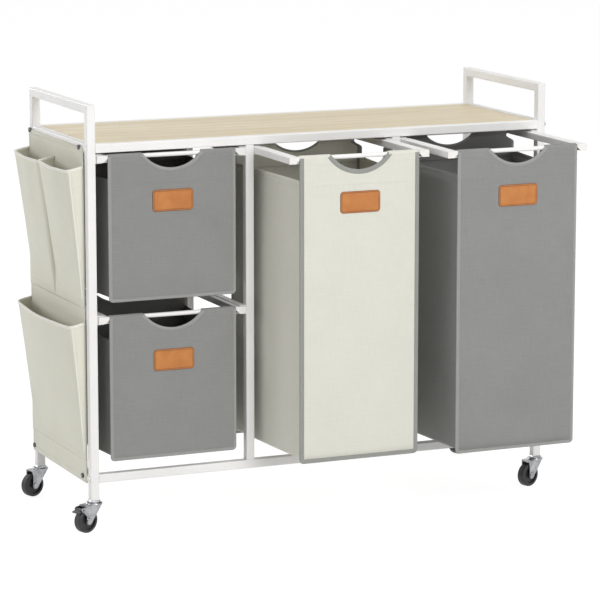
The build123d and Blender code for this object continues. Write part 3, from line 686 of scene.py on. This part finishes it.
def panel_columns(bag):
    """Places across a panel, closer together round the lower corners and the scoop."""
    turns = np.radians(np.linspace(90, 0, CORNER_COLUMNS + 1)[:-1])
    corner = bag.half - PANEL_CORNER + PANEL_CORNER * np.sin(turns)
    flat = np.linspace(bag.half - PANEL_CORNER, MOUTH, FLAT_COLUMNS)[:-1]
    right = np.concatenate([corner, flat])
    return np.concatenate([right, np.linspace(MOUTH, -MOUTH, SCOOP_COLUMNS), -right[::-1]])


def round_rod(first, last, count):
    """Depths and heights of the cloth round a rod, between two angles in degrees."""
    turns = np.radians(np.linspace(first, last, count))
    return [(ROD_DROP + FOLD_RADIUS * math.cos(t), -ROD_DROP + FOLD_RADIUS * math.sin(t)) for t in turns]


def panel_lines(bag):
    """Depths and heights of the outer layer, from foot to fold, and of the inner one, down to its hem."""
    second = FACE_DEPTH + CLOTH + LAYER_GAP
    outer = [(FACE_DEPTH, -bag.height)] + round_rod(180, 90, OUTER_TURN_POINTS)
    inner = round_rod(90, ROD_LEAVE, INNER_TURN_POINTS) + [(second, -INNER_DROP), (second, -HEM_DROP)]
    return np.array(outer), np.array(inner)


def layer_span(bag, x, line, run, rising):
    """Where a layer starts and stops along its line, at a place across the panel."""
    start, stop = 0.0, run[-1]
    if rising:
        beyond = max(0.0, abs(x) - (bag.half - PANEL_CORNER))
        start = PANEL_CORNER - math.sqrt(max(0.0, PANEL_CORNER ** 2 - beyond ** 2))
    if abs(x) < MOUTH - 1e-9:
        edge = SCOOP_RISE - math.sqrt(SCOOP_RADIUS ** 2 - x ** 2)
        if rising:
            stop = np.interp(edge, line[:, 1], run)
        else:
            start = np.interp(-edge, -line[:, 1], run)
    return start, stop


print("a panel has", len(panel_columns(bags["middle"])), "columns of points")

# %% Panels
FACE_ROWS = (64 * MM, 26)               # rows of points up the face: heights below the top, count
HEM_ROWS = (60 * MM, 14 * MM, 16)
FOLD_ROWS = (10 * MM, 0, 7)
INNER_ROWS = 24
INNER_CROWD = 1.3                       # power that draws the inner rows together at the fold


def bag_panel(bag, end):
    """A panel in one cut: up the face, over the rod and down inside to its hem."""
    rows = [np.linspace(bag.height, *FACE_ROWS), np.linspace(*HEM_ROWS), np.linspace(*FOLD_ROWS)]
    outer_steps = 1 - np.concatenate(rows) / bag.height
    inner_steps = np.linspace(0, 1, INNER_ROWS) ** INNER_CROWD
    outer, inner = panel_lines(bag)
    grids, travelled = [], 0.0
    for line, steps, rising in ((outer, outer_steps, True), (inner, inner_steps, False)):
        run = run_along(line)
        spots, cut = [], []
        for x in panel_columns(bag):
            start, stop = layer_span(bag, x, line, run, rising)
            at = start + (stop - start) * steps
            depth, drop = np.interp(at, run, line[:, 0]), np.interp(at, run, line[:, 1])
            spots.append(on_bag(bag, end, x, depth, drop))
            cut.append(np.stack([x + shoulder(bag, end, np.full_like(at, x), drop), travelled + at], axis=-1))
        travelled += run[-1]
        grids.append((np.array(spots), np.array(cut)))
    made = cloth(f"{bag.name}_bag_{ENDS[end]}_panel", grids, bag.cloth)
    return made, (2 * (bag.half + (REAR_SPREAD if end > 0 else 0.0)), travelled)


panels, panel_cuts = {}, {}
for name, bag in bags.items():
    for end in ENDS:
        panels[name, end], panel_cuts[name, end] = bag_panel(bag, end)
        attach(panels[name, end], f"{name}_unit")
        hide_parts(f"{name}_bag")
print(len(panels), "panels, the first cut", [round(v / MM) for v in panel_cuts["upper_left", -1]], "mm")

# %% [markdown]
# ## The strip of walls and floor
# One strip of cloth runs down one side, under the bag and up the other side. Its edges turn out
# against the panels as a seam allowance. Each row of points takes the sag that a hanging cloth
# has there, so the walls draw in at the rim and the floor hangs lowest in its middle.

# %% Line of the strip
SIDE_INSET = 4 * MM         # walls in from the edges of the front panel
SIDE_DROP = 52 * MM         # rims of the walls below the top
SKIRT = 6 * MM              # floor above the foot of the panels
WALL_ROUND = 8 * MM         # where a wall turns into the floor
ALLOWANCE = 3.0 * MM        # seam allowance past the walls
FLOOR_ALLOWANCE = 7.6 * MM
WALL_ROWS = 26
TURN_ROWS = 9
FLOOR_ROWS = 9


def strip_line(bag):
    """The strip in the cross section: places, outward directions and seam allowances."""
    wall = bag.half - SIDE_INSET - CLOTH / 2
    floor_at = -bag.height + SKIRT + CLOTH / 2
    spots, ways, edges = [], [], []
    for drop in np.linspace(-SIDE_DROP, floor_at + WALL_ROUND, WALL_ROWS)[:-1]:
        spots.append((-wall, drop))
        ways.append((-1.0, 0.0))
        edges.append(ALLOWANCE)
    for turn in np.radians(np.linspace(180, 270, TURN_ROWS)):
        way = (math.cos(turn), math.sin(turn))
        spots.append((-wall + WALL_ROUND + WALL_ROUND * way[0], floor_at + WALL_ROUND + WALL_ROUND * way[1]))
        ways.append(way)
        edges.append(ALLOWANCE + (FLOOR_ALLOWANCE - ALLOWANCE) * (math.degrees(turn) - 180) / 90)
    for x in np.linspace(-wall + WALL_ROUND, 0, FLOOR_ROWS)[1:]:
        spots.append((x, floor_at))
        ways.append((0.0, -1.0))
        edges.append(FLOOR_ALLOWANCE)
    mirrored = [[(-x, z) for x, z in reversed(group[:-1])] for group in (spots, ways)]
    return np.array(spots + mirrored[0]), np.array(ways + mirrored[1]), np.array(edges + edges[-2::-1])


print("a strip has", len(strip_line(bags["middle"])[0]), "rows of points")

# %% Side walls and floor
DRAW_IN = 5.0 * MM          # walls draw in at the rim
WALL_BULGE = 1.8 * MM       # and stand out at the foot
WALL_WAVE = 0.9 * MM        # waves along a wall, and their length
WALL_WAVE_LONG = 36 * MM
WALL_WAVE_TURN = 5          # radians by which they swing from foot to rim
RIM_DROOP = 1.0 * MM        # rims hang this much between the panels
FLOOR_SAG = 4.5 * MM
SAG_SPAN = 2.2              # width of the sag in half widths of the bag
SEAM_GAP = 0.15 * MM        # between panel and seam allowance
SEAM_STEPS = (0.0, 0.4 * MM, 1.6 * MM, 5 * MM)      # columns of points away from the seam
SEAM_TURN = 0.25            # share of the allowance at the second of them
INNER_FROM = 14 * MM        # evenly spaced columns start this far behind the face
INNER_COLUMNS = 25


def bag_strip(bag):
    """Side wall, floor and side wall in one sagging strip between the panels."""
    spots, ways, edges = strip_line(bag)
    across, drop, way_x, way_z = spots[:, :1], spots[:, 1:], ways[:, :1], ways[:, 1:]
    joint = FACE_DEPTH + CLOTH + SEAM_GAP
    near = joint + np.array(SEAM_STEPS)
    inner = np.linspace(INNER_FROM, bag.depth - INNER_FROM, INNER_COLUMNS)
    depths = np.concatenate([near, inner, bag.depth - near[::-1]])
    turned = np.zeros_like(depths)
    turned[[0, -1]] = 1.0
    turned[[1, -2]] = SEAM_TURN
    hang = np.sin(math.pi * np.clip((depths - joint) / (bag.depth - 2 * joint), 0, 1))
    high = np.clip((drop + bag.height) / (bag.height - SIDE_DROP), 0, 1)
    wave = WALL_WAVE * np.sin(depths / WALL_WAVE_LONG + bag.number) * np.sin(WALL_WAVE_TURN * high + 1)
    inward = (DRAW_IN * high ** 2 - WALL_BULGE * (1 - high) + wave) * hang * np.abs(way_x)
    sag = FLOOR_SAG * np.abs(way_z) * np.cos(math.pi * across / (SAG_SPAN * bag.half)) * hang
    droop = RIM_DROOP * high ** 6 * np.abs(way_x) * hang
    out = edges[:, None] * turned
    spread = across * (1 + REAR_SPREAD * depths / bag.depth / across.max())
    x = spread + way_x * (out - inward)
    y = np.broadcast_to(bag.front + depths, x.shape)
    z = bag.top + drop + way_z * out - sag - droop
    steps = np.hypot(np.diff(spread, axis=0), np.diff(drop, axis=0))
    run = np.concatenate([np.zeros_like(spread[:1]), np.cumsum(steps, axis=0)])
    run = run - run[len(run) // 2]
    cut = np.stack(np.broadcast_arrays(run, depths), axis=-1)
    points = np.stack([bag.middle + x, y, z], axis=-1)
    made = cloth(f"{bag.name}_bag_strip", [(points, cut)], bag.cloth)
    return made, (bag.depth, float(np.ptp(run))), points


strips, strip_cuts, strip_points = {}, {}, {}
for name, bag in bags.items():
    strips[name], strip_cuts[name], strip_points[name] = bag_strip(bag)
    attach(strips[name], f"{name}_unit")
    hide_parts(f"{name}_bag")
    print(name, "strip cut", [round(v / MM) for v in strip_cuts[name]], "mm")

# %% [markdown]
# ## Binding tape
# Folded tape closes the raw edges: round the sides and foot of each panel, along the scoop, and
# along the rims of the side walls. On the pale bag the tape is grey, and it draws the outline that
# the eye reads first. A solid section carried along the edge gives its rounded fold.

# %% Edges and section of a tape
TAPE_FRONT = 1.3 * MM       # face of the tape in front of the middle of the panel
TAPE_BACK = 2.9 * MM        # back of the tape, behind the seam allowance
TAPE_THIN = 1.0 * MM        # back of the tape beside the rod
TAPE_ROUND = 0.8 * MM       # where its faces start to round off
TAPE_LIP = 0.35 * MM        # its inner edge is thinner by this on each face
ROD_CLEAR = 14 * MM         # down to here the tape is thin, and then it thickens
ROD_EASE = 6 * MM
EDGE_START = 4.5 * MM       # tape starts this far below the fold
EDGE_POINTS = (16, 28, 8, 12)       # at the shoulder, down the side, round the corner, along half the foot


def tape_section(width, back):
    """Section of a folded tape: places in from the edge and back from the cloth's middle."""
    return [
        (width, -TAPE_FRONT + TAPE_LIP), (width - TAPE_ROUND, -TAPE_FRONT), (TAPE_ROUND, -TAPE_FRONT),
        (-0.5 * MM, -0.7 * TAPE_FRONT), (-1.0 * MM, (back - TAPE_FRONT) / 2), (-0.5 * MM, 0.75 * back),
        (TAPE_ROUND, back), (width - TAPE_ROUND, back), (width, back - TAPE_LIP)]


def behind(drop):
    """How far the tape reaches back: less where the rod passes close by."""
    return TAPE_THIN + (TAPE_BACK - TAPE_THIN) * float(np.clip((-drop - ROD_CLEAR) / ROD_EASE, 0, 1))


def panel_edge(bag):
    """The edge from the top right, round the foot, to the top left, with the inward directions."""
    at_shoulder, at_side, at_corner, at_foot = EDGE_POINTS
    shoulder_foot = -SHOULDER_DROP - SHOULDER_FALL
    side = np.concatenate([
        np.linspace(APEX - EDGE_START, shoulder_foot, at_shoulder),
        np.linspace(shoulder_foot, -bag.height + PANEL_CORNER, at_side)[1:-1]])
    line = [((bag.half, d), (-1.0, 0.0)) for d in side]
    for turn in np.radians(np.linspace(0, -90, at_corner)):
        way = (math.cos(turn), math.sin(turn))
        line.append(((bag.half - PANEL_CORNER + PANEL_CORNER * way[0],
                      -bag.height + PANEL_CORNER + PANEL_CORNER * way[1]), (-way[0], -way[1])))
    foot = np.linspace(bag.half - PANEL_CORNER, 0, at_foot)[1:]
    line += [((x, -bag.height), (0.0, 1.0)) for x in foot]
    return line + [((-p[0], p[1]), (-w[0], w[1])) for p, w in line[-2::-1]]


def in_from_edge(bag, spot, way, inset):
    """A place in from a spot on the edge of a panel, kept as far from the other edges."""
    x, drop = spot[0] + way[0] * inset, spot[1] + way[1] * inset
    if inset > 0:
        limit = bag.half - inset
        x, drop = min(max(x, -limit), limit), max(drop, -bag.height + inset)
    return x, drop


print("edge of a panel", len(panel_edge(bags["middle"])), "points")

# %% Tape round the panels and scoops
REAR_SCOOP_TAPE = 3.6 * MM  # the tape round the scoop of a back panel is narrow
SCOOP_STEPS = 41
SCOOP_TAPE_SHORT = 0.6 * MM     # its ends stop this far inside the mouth


def panel_tape(bag, end):
    """Tape round the sides and the foot of a panel."""
    rings = []
    for spot, way in panel_edge(bag):
        ring = []
        for inset, back in tape_section(bag.tape_width, behind(spot[1])):
            x, drop = in_from_edge(bag, spot, way, inset)
            ring.append(on_bag(bag, end, x, outer_depth(drop) + back, drop))
        rings.append(ring)
    return tape(f"{bag.name}_bag_{ENDS[end]}_binding", rings, bag.tape)


def scoop_width(bag, end):
    """Width of the tape round a scoop."""
    return bag.tape_width if end < 0 else REAR_SCOOP_TAPE


def scoop_turns(short):
    """Angles along a scoop, stopping short of both ends of its mouth."""
    return np.linspace(-1, 1, SCOOP_STEPS) * math.asin((MOUTH - short) / SCOOP_RADIUS)


def scoop_tape(bag, end):
    """Tape along the scoop of a panel."""
    rings = []
    for turn in scoop_turns(SCOOP_TAPE_SHORT):
        x, drop = SCOOP_RADIUS * math.sin(turn), SCOOP_RISE - SCOOP_RADIUS * math.cos(turn)
        ring = []
        for inset, back in tape_section(scoop_width(bag, end), behind(drop)):
            at_drop = min(drop - inset * math.cos(turn), APEX)
            ring.append(on_bag(bag, end, x + inset * math.sin(turn), outer_depth(at_drop) + back, at_drop))
        rings.append(ring)
    return tape(f"{bag.name}_bag_{ENDS[end]}_scoop_binding", rings, bag.tape)


bindings = {}
for name, bag in bags.items():
    for end in ENDS:
        bindings[name, end] = [panel_tape(bag, end), scoop_tape(bag, end)]
        for piece in bindings[name, end]:
            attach(piece, f"{name}_unit")
print(sum(len(b) for b in bindings.values()), "tapes on the panels")

# %% Tape along the rims of the side walls
RIM_SECTION = (             # down from the rim and out from the wall, in mm
    (8.0, 0.85), (7.4, 1.0), (0.6, 1.0), (-0.7, 0.5), (-0.7, -0.5), (0.6, -1.0), (7.4, -1.0), (8.0, -0.85))
RIM_SHORT = 2               # points of the wall that the tape leaves free at each end


def rim_tape(bag, side):
    """Tape over the upper edge of one side wall."""
    rows = strip_points[bag.name][::-side]
    rings = []
    for top, lower in list(zip(rows[0], rows[1]))[RIM_SHORT:-RIM_SHORT]:
        down, outward = unit(lower - top), np.array([side, 0.0, 0.0])
        rings.append([top + (down * a + outward * b) * MM for a, b in RIM_SECTION])
    return tape(f"{bag.name}_bag_{'left' if side < 0 else 'right'}_rim", rings, bag.cloth)


rims = {}
for name, bag in bags.items():
    rims[name] = [rim_tape(bag, side) for side in (-1, 1)]
    for piece in rims[name]:
        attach(piece, f"{name}_unit")
print(sum(len(r) for r in rims.values()), "rims")

# %% [markdown]
# ## Stitches on the bags
# Lockstitch runs along the inner edge of each tape and holds the turned-over top: one row close
# under the rod and one at the hem. A little spindle for each stitch catches the light as thread
# does. Real stitches are about 3 mm long and fine, so these are drawn a little longer and fuller.

# %% Stitch rows of a panel
CLOTH_STITCH = (4.6 * MM, 3.4 * MM, 0.42 * MM)      # pitch, length, radius
STITCH_IN = 1.6 * MM        # stitches in from the inner edge of a tape
SCOOP_STITCH_SHORT = 4 * MM     # their ends stop this far inside the mouth
UNDER_ROD = 19.5 * MM       # upper row below the top
HEM_STITCH_IN = 3 * MM      # lower row above the hem
HEM_POINTS = 30


def panel_stitches(bag, end):
    """The tape's stitches in grey thread and the hem's in the thread of the cloth."""
    round_edge, round_scoop, hems = [], [], []
    for spot, way in panel_edge(bag):
        x, drop = in_from_edge(bag, spot, way, bag.tape_width - STITCH_IN)
        round_edge.append(on_bag(bag, end, x, outer_depth(drop) - TAPE_FRONT, drop))
    reach = SCOOP_RADIUS + scoop_width(bag, end) - STITCH_IN
    for turn in scoop_turns(SCOOP_STITCH_SHORT):
        drop = SCOOP_RISE - reach * math.cos(turn)
        round_scoop.append(on_bag(bag, end, reach * math.sin(turn), outer_depth(drop) - TAPE_FRONT, drop))
    last = bag.half - bag.tape_width
    for drop in (-UNDER_ROD, -HEM_DROP + HEM_STITCH_IN):
        spans = [(-last, last)]
        if drop > -SCOOP_DEPTH:
            clear = math.sqrt(SCOOP_RADIUS ** 2 - (SCOOP_RISE - drop) ** 2) + bag.tape_width
            spans = [(-last, -clear), (clear, last)]
        for span in spans:
            xs = np.linspace(*span, HEM_POINTS)
            hems.append(on_bag(bag, end, xs, FACE_DEPTH - CLOTH / 2 - LAYER_GAP, drop))
    return [
        stitching(f"{bag.name}_bag_{ENDS[end]}_{label}", lines, (0, end, 0), CLOTH_STITCH, thread)
        for label, lines, thread in (
            ("binding_stitches", [round_edge, round_scoop], grey_thread), ("hem_stitches", hems, bag.thread))]


seams = {}
for name, bag in bags.items():
    for end in ENDS:
        seams[name, end] = panel_stitches(bag, end)
        for piece in seams[name, end]:
            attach(piece, f"{name}_unit")
print(sum(len(piece.data.polygons) for pair in seams.values() for piece in pair), "faces of stitches")

print("cloth of", len(bags), "bags declared")

# %% [markdown]
# ## Leather patches
# A bare tan patch is sewn on each front panel. The cut edge is rounded over and burnished, a
# saddle-stitch line runs round it in a shallow groove, and it follows the belly of the panel.
# Rings drawn in from the outline give the rounded edge without a modifier.

# %% Outline of a patch
PATCH_CORNER = 7 * MM
PATCH_CORNER_LEAST = 0.4 * MM       # rounding of the rings furthest in
PATCH_TURN_POINTS = 9       # points round a corner and along a side
PATCH_SIDE_POINTS = 13


def patch_outline(half_wide, half_high, inset):
    """A rounded rectangle drawn in by a distance, with the same count of points at any distance."""
    wide, high, radius = half_wide - inset, half_high - inset, max(PATCH_CORNER - inset, PATCH_CORNER_LEAST)
    points = []
    for quarter in range(4):
        centre = (wide - radius) * (1, -1, -1, 1)[quarter], (high - radius) * (1, 1, -1, -1)[quarter]
        for turn in np.radians(np.linspace(0, 90, PATCH_TURN_POINTS) + 90 * quarter):
            points.append((centre[0] + radius * math.cos(turn), centre[1] + radius * math.sin(turn)))
        ahead = ((-1, 0), (0, -1), (1, 0), (0, 1))[quarter]
        length = 2 * ((wide, high)[quarter % 2] - radius)
        last = points[-1]
        for step in np.linspace(0, length, PATCH_SIDE_POINTS)[1:-1]:
            points.append((last[0] + ahead[0] * step, last[1] + ahead[1] * step))
    return points


print("the outline of a patch has", len(patch_outline(1.0, 1.0, 0.0)), "points")

# %% Patches
PATCH_RINGS = (             # in from the outline and height over the panel in mm, burnish
    (0.0, -0.3, 1.0), (-0.1, 0.5, 1.0), (0.15, 1.15, 0.9), (0.7, 1.5, 0.55), (1.6, 1.6, 0.22),
    (2.8, 1.55, 0.12), (3.3, 1.35, 0.2), (3.8, 1.55, 0.08), (6.0, 1.62, 0.0), (12.0, 1.65, 0.0))
PATCH_STITCH = (4.2 * MM, 3.2 * MM, 0.4 * MM)       # pitch, length, radius
PATCH_STITCH_IN = 3.3       # in from the outline and height over the panel in mm
PATCH_STITCH_HIGH = 1.5


def leather_patch(bag):
    """A patch with its burnish stored on the mesh, and its stitches."""
    low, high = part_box(f"{bag.name}_patch")
    half_wide, half_high = (high.x - low.x) / 2, (high.z - low.z) / 2
    middle_x, middle_drop = (low.x + high.x) / 2 - bag.middle, (low.z + high.z) / 2 - bag.top
    front = FACE_DEPTH - CLOTH / 2

    def ring_of(inset, lift):
        return [
            on_bag(bag, -1, middle_x + x, front - lift * MM, middle_drop + z)
            for x, z in patch_outline(half_wide, half_high, inset * MM)]

    points, burnish = [], []
    for inset, lift, burnt in PATCH_RINGS:
        ring = ring_of(inset, lift)
        points += ring
        burnish += [burnt] * len(ring)
    count, inmost = len(ring), len(points) - len(ring)
    points.append(on_bag(bag, -1, middle_x, front - lift * MM, middle_drop))
    burnish.append(burnt)
    faces = tube_faces(len(PATCH_RINGS), count)
    faces += [(inmost + i, inmost + (i + 1) % count, len(points) - 1) for i in range(count)]
    faces.append(tuple(reversed(range(count))))
    made = new_piece(f"{bag.name}_leather_patch", points, faces, leather)
    worn = made.data.attributes.new("burnish", "FLOAT", "POINT")
    worn.data.foreach_set("value", np.array(burnish, np.float32)[:len(made.data.vertices)])
    line = ring_of(PATCH_STITCH_IN, PATCH_STITCH_HIGH)
    line.append(line[0])
    return made, stitching(f"{bag.name}_patch_stitches", [line], (0, -1, 0), PATCH_STITCH, brown_thread)


for name, bag in bags.items():
    patch, saddle = leather_patch(bag)
    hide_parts(f"{name}_patch")
    for piece in (patch, saddle):
        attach(piece, f"{name}_unit")
print("patches on", list(bags))

# %% [markdown]
# ## The pocket panel
# A cloth panel is screwed over the left end of the frame and carries three flared pockets. It is
# drawn tight between the rails, so it is nearly flat, with a turned hem all round. One grid with a
# little slack is enough for it, and a closed tape makes the hem.

# %% Panel on the left end
PANEL_SLACK = 1.6 * MM      # how far the drawn cloth gives inwards between the rails
PANEL_GRID = (25, 41)       # points along and up the panel
HEM_SECTION = (             # in from the edge and out from the panel, in mm
    (9.0, -1.0), (8.4, -1.3), (0.5, -1.3), (0.0, -0.6), (0.0, 0.9), (9.0, 0.9))

low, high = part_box("pocket_panel")
end_panel = SimpleNamespace(x=(low.x + high.x) / 2, deep=high.y - low.y, tall=high.z - low.z)
grid_y, grid_z = np.meshgrid(
    np.linspace(low.y, high.y, PANEL_GRID[0]), np.linspace(low.z, high.z, PANEL_GRID[1]), indexing="ij")
across = np.sin(math.pi * np.clip((grid_y - low.y) / end_panel.deep, 0, 1))
up = np.sin(math.pi * np.clip((grid_z - low.z) / end_panel.tall, 0, 1))
points = np.stack([end_panel.x + PANEL_SLACK * across * up, grid_y, grid_z], axis=-1)
pocket_panel = cloth("pocket_panel_cloth", [(points, points[..., 1:])], pocket_cloth)

corners = ((low.y, low.z, 1, 1), (high.y, low.z, -1, 1), (high.y, high.z, -1, -1), (low.y, high.z, 1, -1))
rings = [
    [(end_panel.x + out * MM, y + in_y * a * MM, z + in_z * a * MM) for a, out in HEM_SECTION]
    for y, z, in_y, in_z in corners]
panel_hem = tape("pocket_panel_hem", rings, pocket_cloth, closed=True)
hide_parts("pocket_panel")
for piece in (pocket_panel, panel_hem):
    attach(piece, "frame")
print("end panel", [round(v / MM) for v in (end_panel.deep, end_panel.tall)], "mm")

# %% [markdown]
# ## The pockets
# Each pocket is a cut wider than the panel behind it, so it stands open like a bellows: short sides
# that stand out from the panel, and an outer face that bows between two folds. The sides narrow to
# nothing at the seam below, and the rim droops towards the folds. So the plan of the pocket is
# drawn at every height and lofted, with the folds rounded as stiff cloth rounds them.

# %% Plan of a pocket at one height
POCKETS = {         # at the rim: front and rear folds out from the panel, face beyond them, sides' lean
    "rear_upper_pocket": (35 * MM, 35 * MM, 5 * MM, 2.5 * MM, 6 * MM),
    "front_upper_pocket": (31 * MM, 36 * MM, 8 * MM, 5 * MM, 2.5 * MM),
    "lower_pocket": (29 * MM, 32 * MM, 15 * MM, 5 * MM, 6 * MM),
}
FOOT = 1.2 * MM             # how far a pocket stands out just above its seam
CLOSING = 0.03              # share of the height in which it closes to the seam
REAR_START = 0.2            # share of the height below which the rear side lies flat
FOOT_LEAN = 0.6             # share of the sides' lean at the seam
FOLD_ROUND = 11 * MM
FOOT_ROUND = 0.3            # share of the folds' rounding at the seam
PLAN_POINTS = (8, 30, 8)    # points on the front side, the face and the rear side
CORNER_POINTS = 8
CORNER_SHARE = 0.45         # a rounded corner takes at most this share of a run


def rounded(points, radius, counts):
    """A line through points with rounded corners and a set count of points on each run and corner."""
    points = [np.array(p, float) for p in points]
    line, last = [], points[0]
    for i in range(1, len(points) - 1):
        to_before, to_after = points[i - 1] - points[i], points[i + 1] - points[i]
        cut = min(radius, CORNER_SHARE * np.linalg.norm(to_before), CORNER_SHARE * np.linalg.norm(to_after))
        enter, leave = points[i] + unit(to_before) * cut, points[i] + unit(to_after) * cut
        line += [last + (enter - last) * s for s in np.linspace(0, 1, counts[i - 1])[:-1]]
        line += [
            enter * (1 - s) ** 2 + points[i] * 2 * s * (1 - s) + leave * s ** 2
            for s in np.linspace(0, 1, CORNER_POINTS)[:-1]]
        last = leave
    line += [last + (points[-1] - last) * s for s in np.linspace(0, 1, counts[-1])]
    return np.array(line)


def pocket_plan(pocket, share):
    """The pocket in plan, as distance out and Y, at a share of its height."""
    rear_share = max(0.0, share - REAR_START) / (1 - REAR_START)
    closing = min(1.0, share / CLOSING)
    lean = FOOT_LEAN + (1 - FOOT_LEAN) * share
    front_out = CLOTH / 2 + (FOOT + (pocket.front_fold - FOOT) * share) * closing
    rear_out = CLOTH / 2 + (FOOT + (pocket.rear_fold - FOOT) * rear_share) * closing
    first = pocket.front + pocket.front_lean * lean
    last = pocket.rear - pocket.rear_lean * lean
    plan = rounded(
        [(CLOTH / 2, pocket.front), (front_out, first), (rear_out, last), (CLOTH / 2, pocket.rear)],
        FOLD_ROUND * (FOOT_ROUND + (1 - FOOT_ROUND) * share), PLAN_POINTS)
    across = np.clip((plan[:, 1] - first) / (last - first), 0, 1)
    plan[:, 0] += pocket.bow * share ** 0.7 * closing * np.sin(math.pi * across)
    return plan


print("folds stand out", {name: [round(v / MM) for v in sizes[:2]] for name, sizes in POCKETS.items()}, "mm")

# %% Shape of a pocket
RIM_ABOVE = 1.5 * MM        # rim above the top of the CAD solid
FRONT_DROOP = 8 * MM        # rim at the front fold below the rim at the panel
REAR_DROOP = 5 * MM
DROOP_MOST = 1.1            # share of the droop where the face bows out beyond the folds
CREASE = 0.7 * MM           # soft creases down the face, and their swing across and up it in radians
CREASE_ACROSS = 11
CREASE_UP = 3
HEIGHTS = np.concatenate([      # rows of points as shares of the height, close together at the seam
    [0.0, 0.008, 0.016, 0.024, 0.03], np.linspace(0.05, 0.97, 30), [0.985, 1.0]])


def pocket_shape(name):
    """The sizes of a pocket, from its CAD solid and its flare."""
    low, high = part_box(name)
    front_fold, rear_fold, bow, front_lean, rear_lean = POCKETS[name]
    return SimpleNamespace(
        name=name, front=low.y, rear=high.y, seam=low.z, tall=high.z + RIM_ABOVE - low.z,
        front_fold=front_fold, rear_fold=rear_fold, bow=bow, front_lean=front_lean, rear_lean=rear_lean,
        panel_x=end_panel.x - CLOTH / 2)


def pocket_points(pocket):
    """Rows of points up the pocket."""
    rows = []
    for share in HEIGHTS:
        plan = pocket_plan(pocket, share)
        across = (plan[:, 1] - pocket.front) / (pocket.rear - pocket.front)
        crease = CREASE * np.sin(CREASE_ACROSS * across + CREASE_UP * share)
        crease = crease * np.sin(math.pi * across) * share
        lowering = (FRONT_DROOP + (REAR_DROOP - FRONT_DROOP) * across) * share ** 3
        droop = lowering * np.clip((plan[:, 0] - CLOTH) / pocket.front_fold, 0, DROOP_MOST)
        z = pocket.seam + pocket.tall * share - droop
        rows.append(np.stack([pocket.panel_x - plan[:, 0] - crease, plan[:, 1], z], axis=-1))
    return np.array(rows)


print("a pocket has", len(HEIGHTS), "rows of points")

# %% Rim and piping of a pocket
POCKET_RIM_SECTION = (      # down from the rim and out from the cloth, in mm
    (5.0, 1.0), (4.4, 1.7), (1.2, 1.9), (-0.6, 1.2), (-1.1, 0.0), (-0.6, -1.2), (1.2, -1.9), (4.4, -1.6),
    (5.0, -1.0))
PIPING = (                  # across the fold and out from it, in mm
    (-1.9, -0.3), (-1.3, 0.5), (0.0, 0.9), (1.3, 0.5), (1.9, -0.3), (0.0, -0.5))
PIPED = ("front_upper_pocket", "lower_pocket")
FOLD_COLUMN = 10            # column of points at the middle of the front fold
SEAM_ROW = 5                # row of points that the seam's stitches follow


def pocket_rim(pocket, points):
    """Tape folded over the rim, its lighter colour a painted highlight on the rolled edge."""
    rings = []
    top, lower = points[-1], points[-2]
    for i in range(len(top)):
        before, after = top[max(i - 1, 0)], top[min(i + 1, len(top) - 1)]
        down = unit(lower[i] - top[i])
        outward = unit(np.cross(unit(after - before), down))
        rings.append([top[i] + (down * a + outward * b) * MM for a, b in POCKET_RIM_SECTION])
    return tape(f"{pocket.name}_rim", rings, highlight_cream_tape)


def fold_piping(pocket, points):
    """A fine piping down the front fold, from under the rim to the seam, its lighter colour a painted
    highlight on the fold.
    """
    rings = []
    for row in range(SEAM_ROW, len(points) - 1):
        spot = points[row][FOLD_COLUMN]
        way = unit(points[row][FOLD_COLUMN + 1] - points[row][FOLD_COLUMN - 1])
        outward = unit(np.cross(way, points[row - 1][FOLD_COLUMN] - spot))
        rings.append([spot + outward * CLOTH / 2 + (way * a + outward * b) * MM for a, b in PIPING])
    return tape(f"{pocket.name}_fold_piping", rings, highlight_cream_tape)


print("piping on", PIPED)

# %% Pockets
SIDE_POINTS = 9             # points at each end of a row, on the sides of the pocket

for name in POCKETS:
    pocket = pocket_shape(name)
    points = pocket_points(pocket)
    run = run_along(points[-1])
    cut = np.stack(np.broadcast_arrays(run, HEIGHTS[:, None] * pocket.tall), axis=-1)
    made = cloth(f"{name}_cloth", [(points, cut)], pocket_cloth)
    seam = points[SEAM_ROW][SIDE_POINTS:-SIDE_POINTS] - np.array([CLOTH / 2, 0.0, 0.0])
    trims = [
        pocket_rim(pocket, points),
        stitching(f"{name}_stitches", [seam], (-1, 0, 0), CLOTH_STITCH, cream_thread)]
    if name in PIPED:
        trims.append(fold_piping(pocket, points))
    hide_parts(name)
    for piece in [made] + trims:
        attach(piece, "frame")
    print(name, "cut", [round(v / MM) for v in (run[-1], pocket.tall)], "mm")

# %% [markdown]
# ## Bolt caps
# The bolts in the front left post wear snap-on caps in the colour of the frame, so that nothing
# dark stands beside the pocket panel. A cap is a turned dome: a profile carried round an axis.

# %% Caps on the front left post
CAP_PROFILE = (             # radius and height in mm
    (6.4, 0.0), (6.4, 1.6), (6.1, 2.6), (5.2, 3.4), (3.6, 3.9), (1.8, 4.1))
CAP_SIDES = 28


def bolt_cap(name, seat):
    """A dome on the outer face of a post, pointing to the left."""
    points = [
        seat + np.array([-height, radius * math.cos(turn), radius * math.sin(turn)]) * MM
        for radius, height in CAP_PROFILE
        for turn in np.linspace(0, 2 * math.pi, CAP_SIDES, endpoint=False)]
    faces = tube_faces(len(CAP_PROFILE), CAP_SIDES)
    faces.append(tuple(range(CAP_SIDES)))
    faces.append(tuple(reversed(range(len(points) - CAP_SIDES, len(points)))))
    return new_piece(name, points, faces, plastic)


post_low, post_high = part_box("front_left_post")
for label, rail in (("upper", "front_top_rail"), ("lower", "front_bottom_rail")):
    rail_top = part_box(rail)[1].z
    seat = (post_low.x, (post_low.y + post_high.y) / 2, rail_top - (post_high.x - post_low.x) / 2)
    cap = bolt_cap(f"front_left_{label}_bolt_cap", np.array(seat))
    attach(cap, "frame")
print("two bolt caps")
